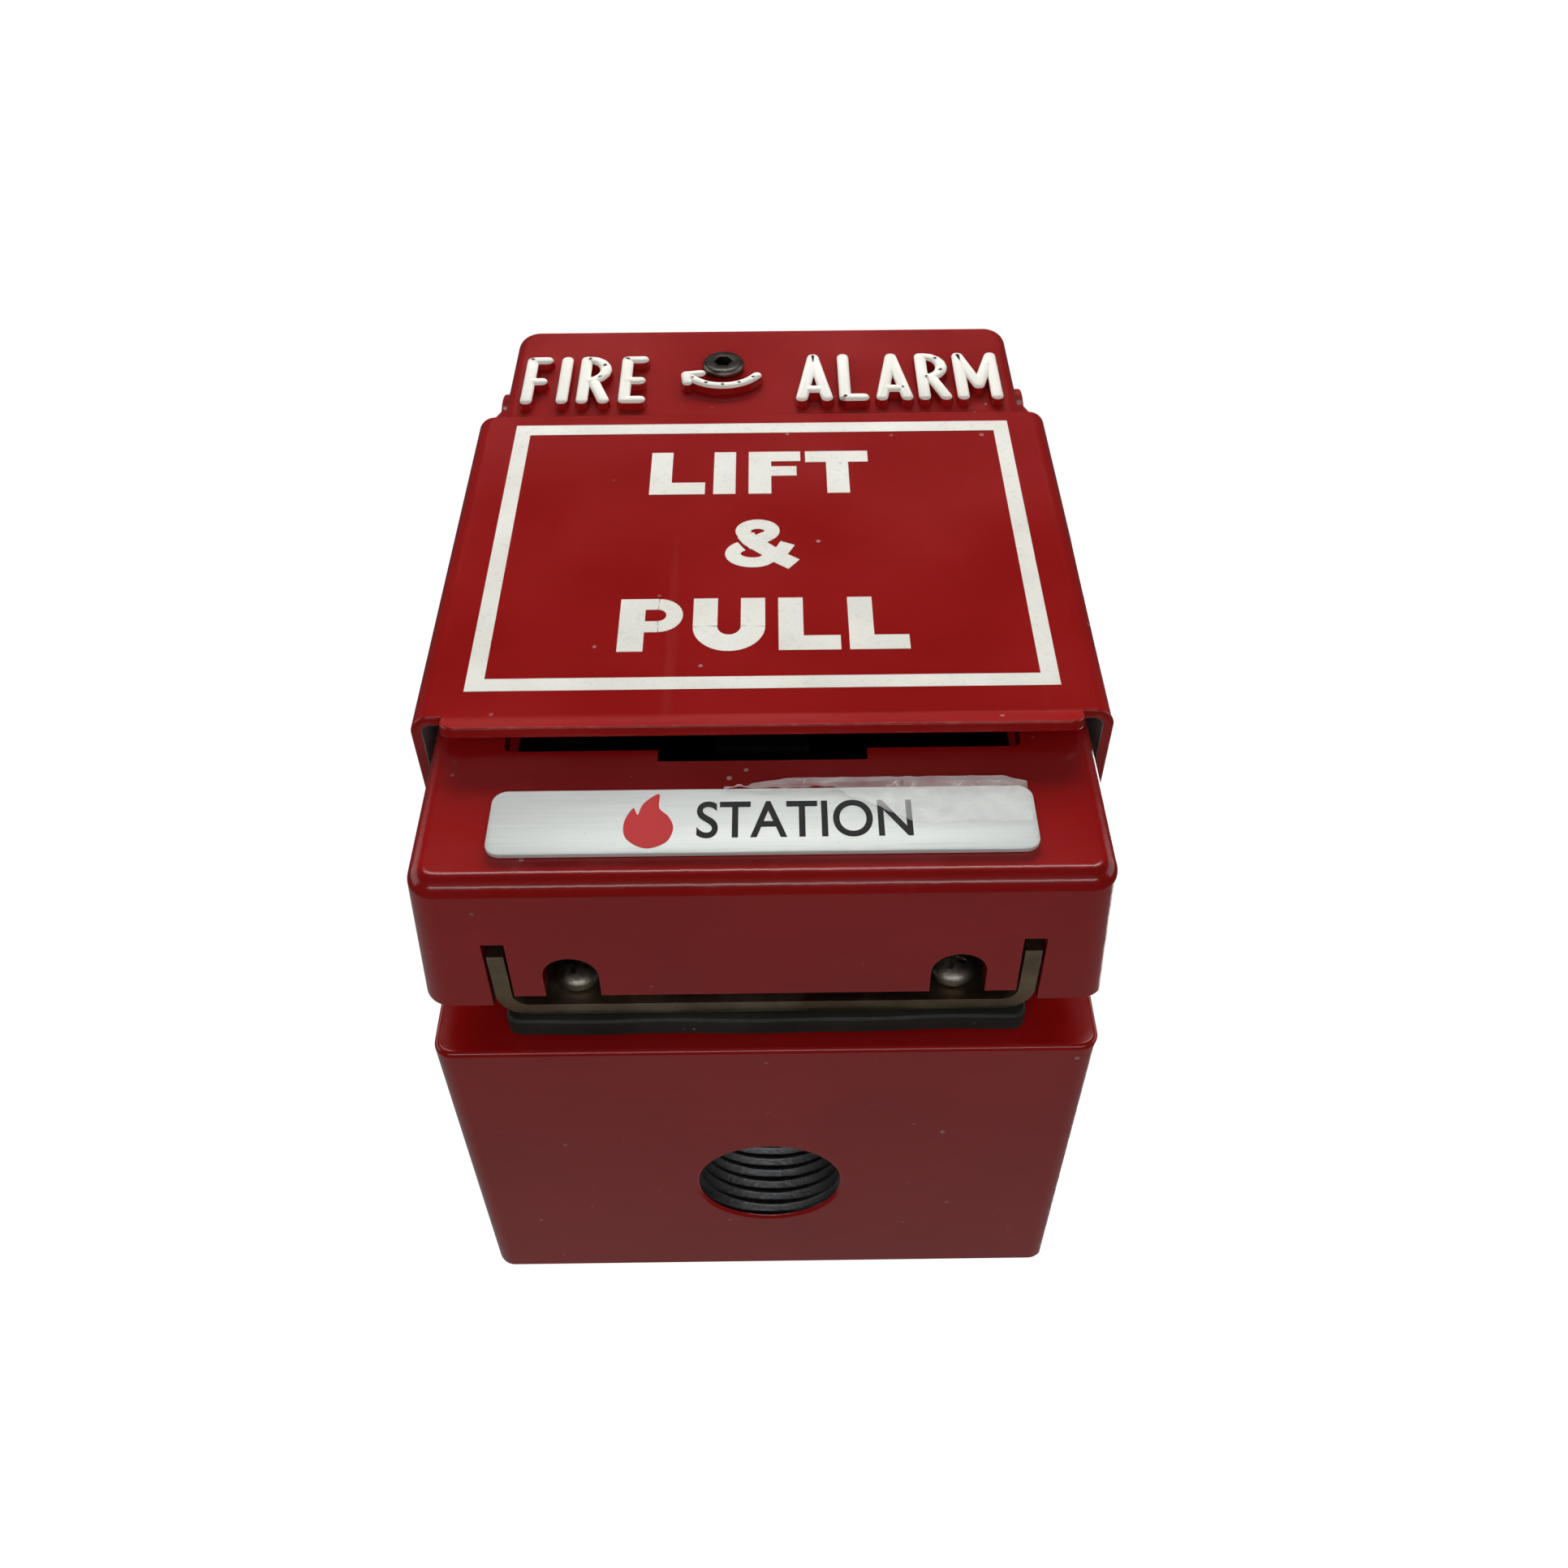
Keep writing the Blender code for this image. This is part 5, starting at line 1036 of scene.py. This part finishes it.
blocks((-8.9, -5.75, 41.7, CAP), (-2.75, 0.4, 41.7, CAP))
ribbon(bm, arc_path((-4.25, 41.7), 3.08, 3.2, 180, 360, 20), 3.15, DOOR_FACE)
blocks((2.1, 5.3, BASE, CAP), (5.3, 10.0, BASE, BASE + 2.75), (11.1, 14.3, BASE, CAP))
blocks((14.3, 18.75, BASE, BASE + 2.75))
# The strokes of the & cross one another, so each is a little thicker than the one under it.
loop = arc_path((-0.6, 61.7), 2.0, 1.55, -50, 215, 20)
tail = [(-1.6, 59.6), (0.4, 57.7), (2.6, 55.6), (4.3, 54.3)]
ribbon(bm, loop, 2.1, DOOR_FACE)
ribbon(bm, [loop[-1], *tail], 2.5, DOOR_FACE, 0.000046)
ribbon(bm, [loop[0], (-0.6, 59.6), (-2.2, 58.6)], 2.2, DOOR_FACE, 0.000052)
belly = arc_path((-1.2, 56.7), 2.75, 1.95, 125, 300, 18)
ribbon(bm, belly + [(1.6, 56.2), (2.8, 57.4), (3.5, 58.9)], 2.1, DOOR_FACE, 0.000058)
mount(solid("door_print", bm, PRINT), "door", "red_enamel")


# The pull handle, behind the door in the window: a T-shaped grey casting on its own pin, with an arm to the switch.
HANDLE_GREY = metal("handle casting", (0.035, 0.034, 0.038), (0.075, 0.073, 0.080), 0.46, grain=1300.0, relief=0.3)
refine("pull_handle", HANDLE_GREY, 0.00035)


# The cover lock: a dark steel socket screw through the cover, with a cam and a nut on its inner end.
DARK_STEEL = metal("dark steel", (0.11, 0.10, 0.09), (0.26, 0.24, 0.21), 0.34, grain=1500.0, stains=300.0)
lock_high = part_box("lock_screw")[1]
HEAD, HEAD_HEIGHT, SOCKET_RADIUS, SOCKET_DEPTH = 0.0033, 0.0012, 0.00150, 0.0058
profile = [(-HEAD_HEIGHT, 0.0012), (-HEAD_HEIGHT, 0.0026), (-HEAD_HEIGHT + 0.00012, 0.0029),
           (-HEAD_HEIGHT + 0.0004, 0.00318), (-HEAD_HEIGHT + 0.0007, HEAD), (0.0, HEAD), (0.0, LOCK_SHANK)]
profile += [(lock_high.y - cover_low.y + 0.0003, LOCK_SHANK)]
lock = turned("lock_cap_screw", spot(LOCK_X, -0.0003, LOCK_HIGH), inward, profile, DARK_STEEL)
socket = turned("socket", spot(LOCK_X, -0.004, LOCK_HIGH), inward, rod(SOCKET_DEPTH, SOCKET_RADIUS), sides=6)
soften(carve(lock, [socket]), 0.00008)
mount(lock, "lock", "dark_steel", "lock_screw")
refine("lock_cam", SCREW_ZINC, 0.0002)
refine("lock_nut", SCREW_ZINC, 0.0001)

bpy.context.view_layer.update()
low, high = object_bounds()
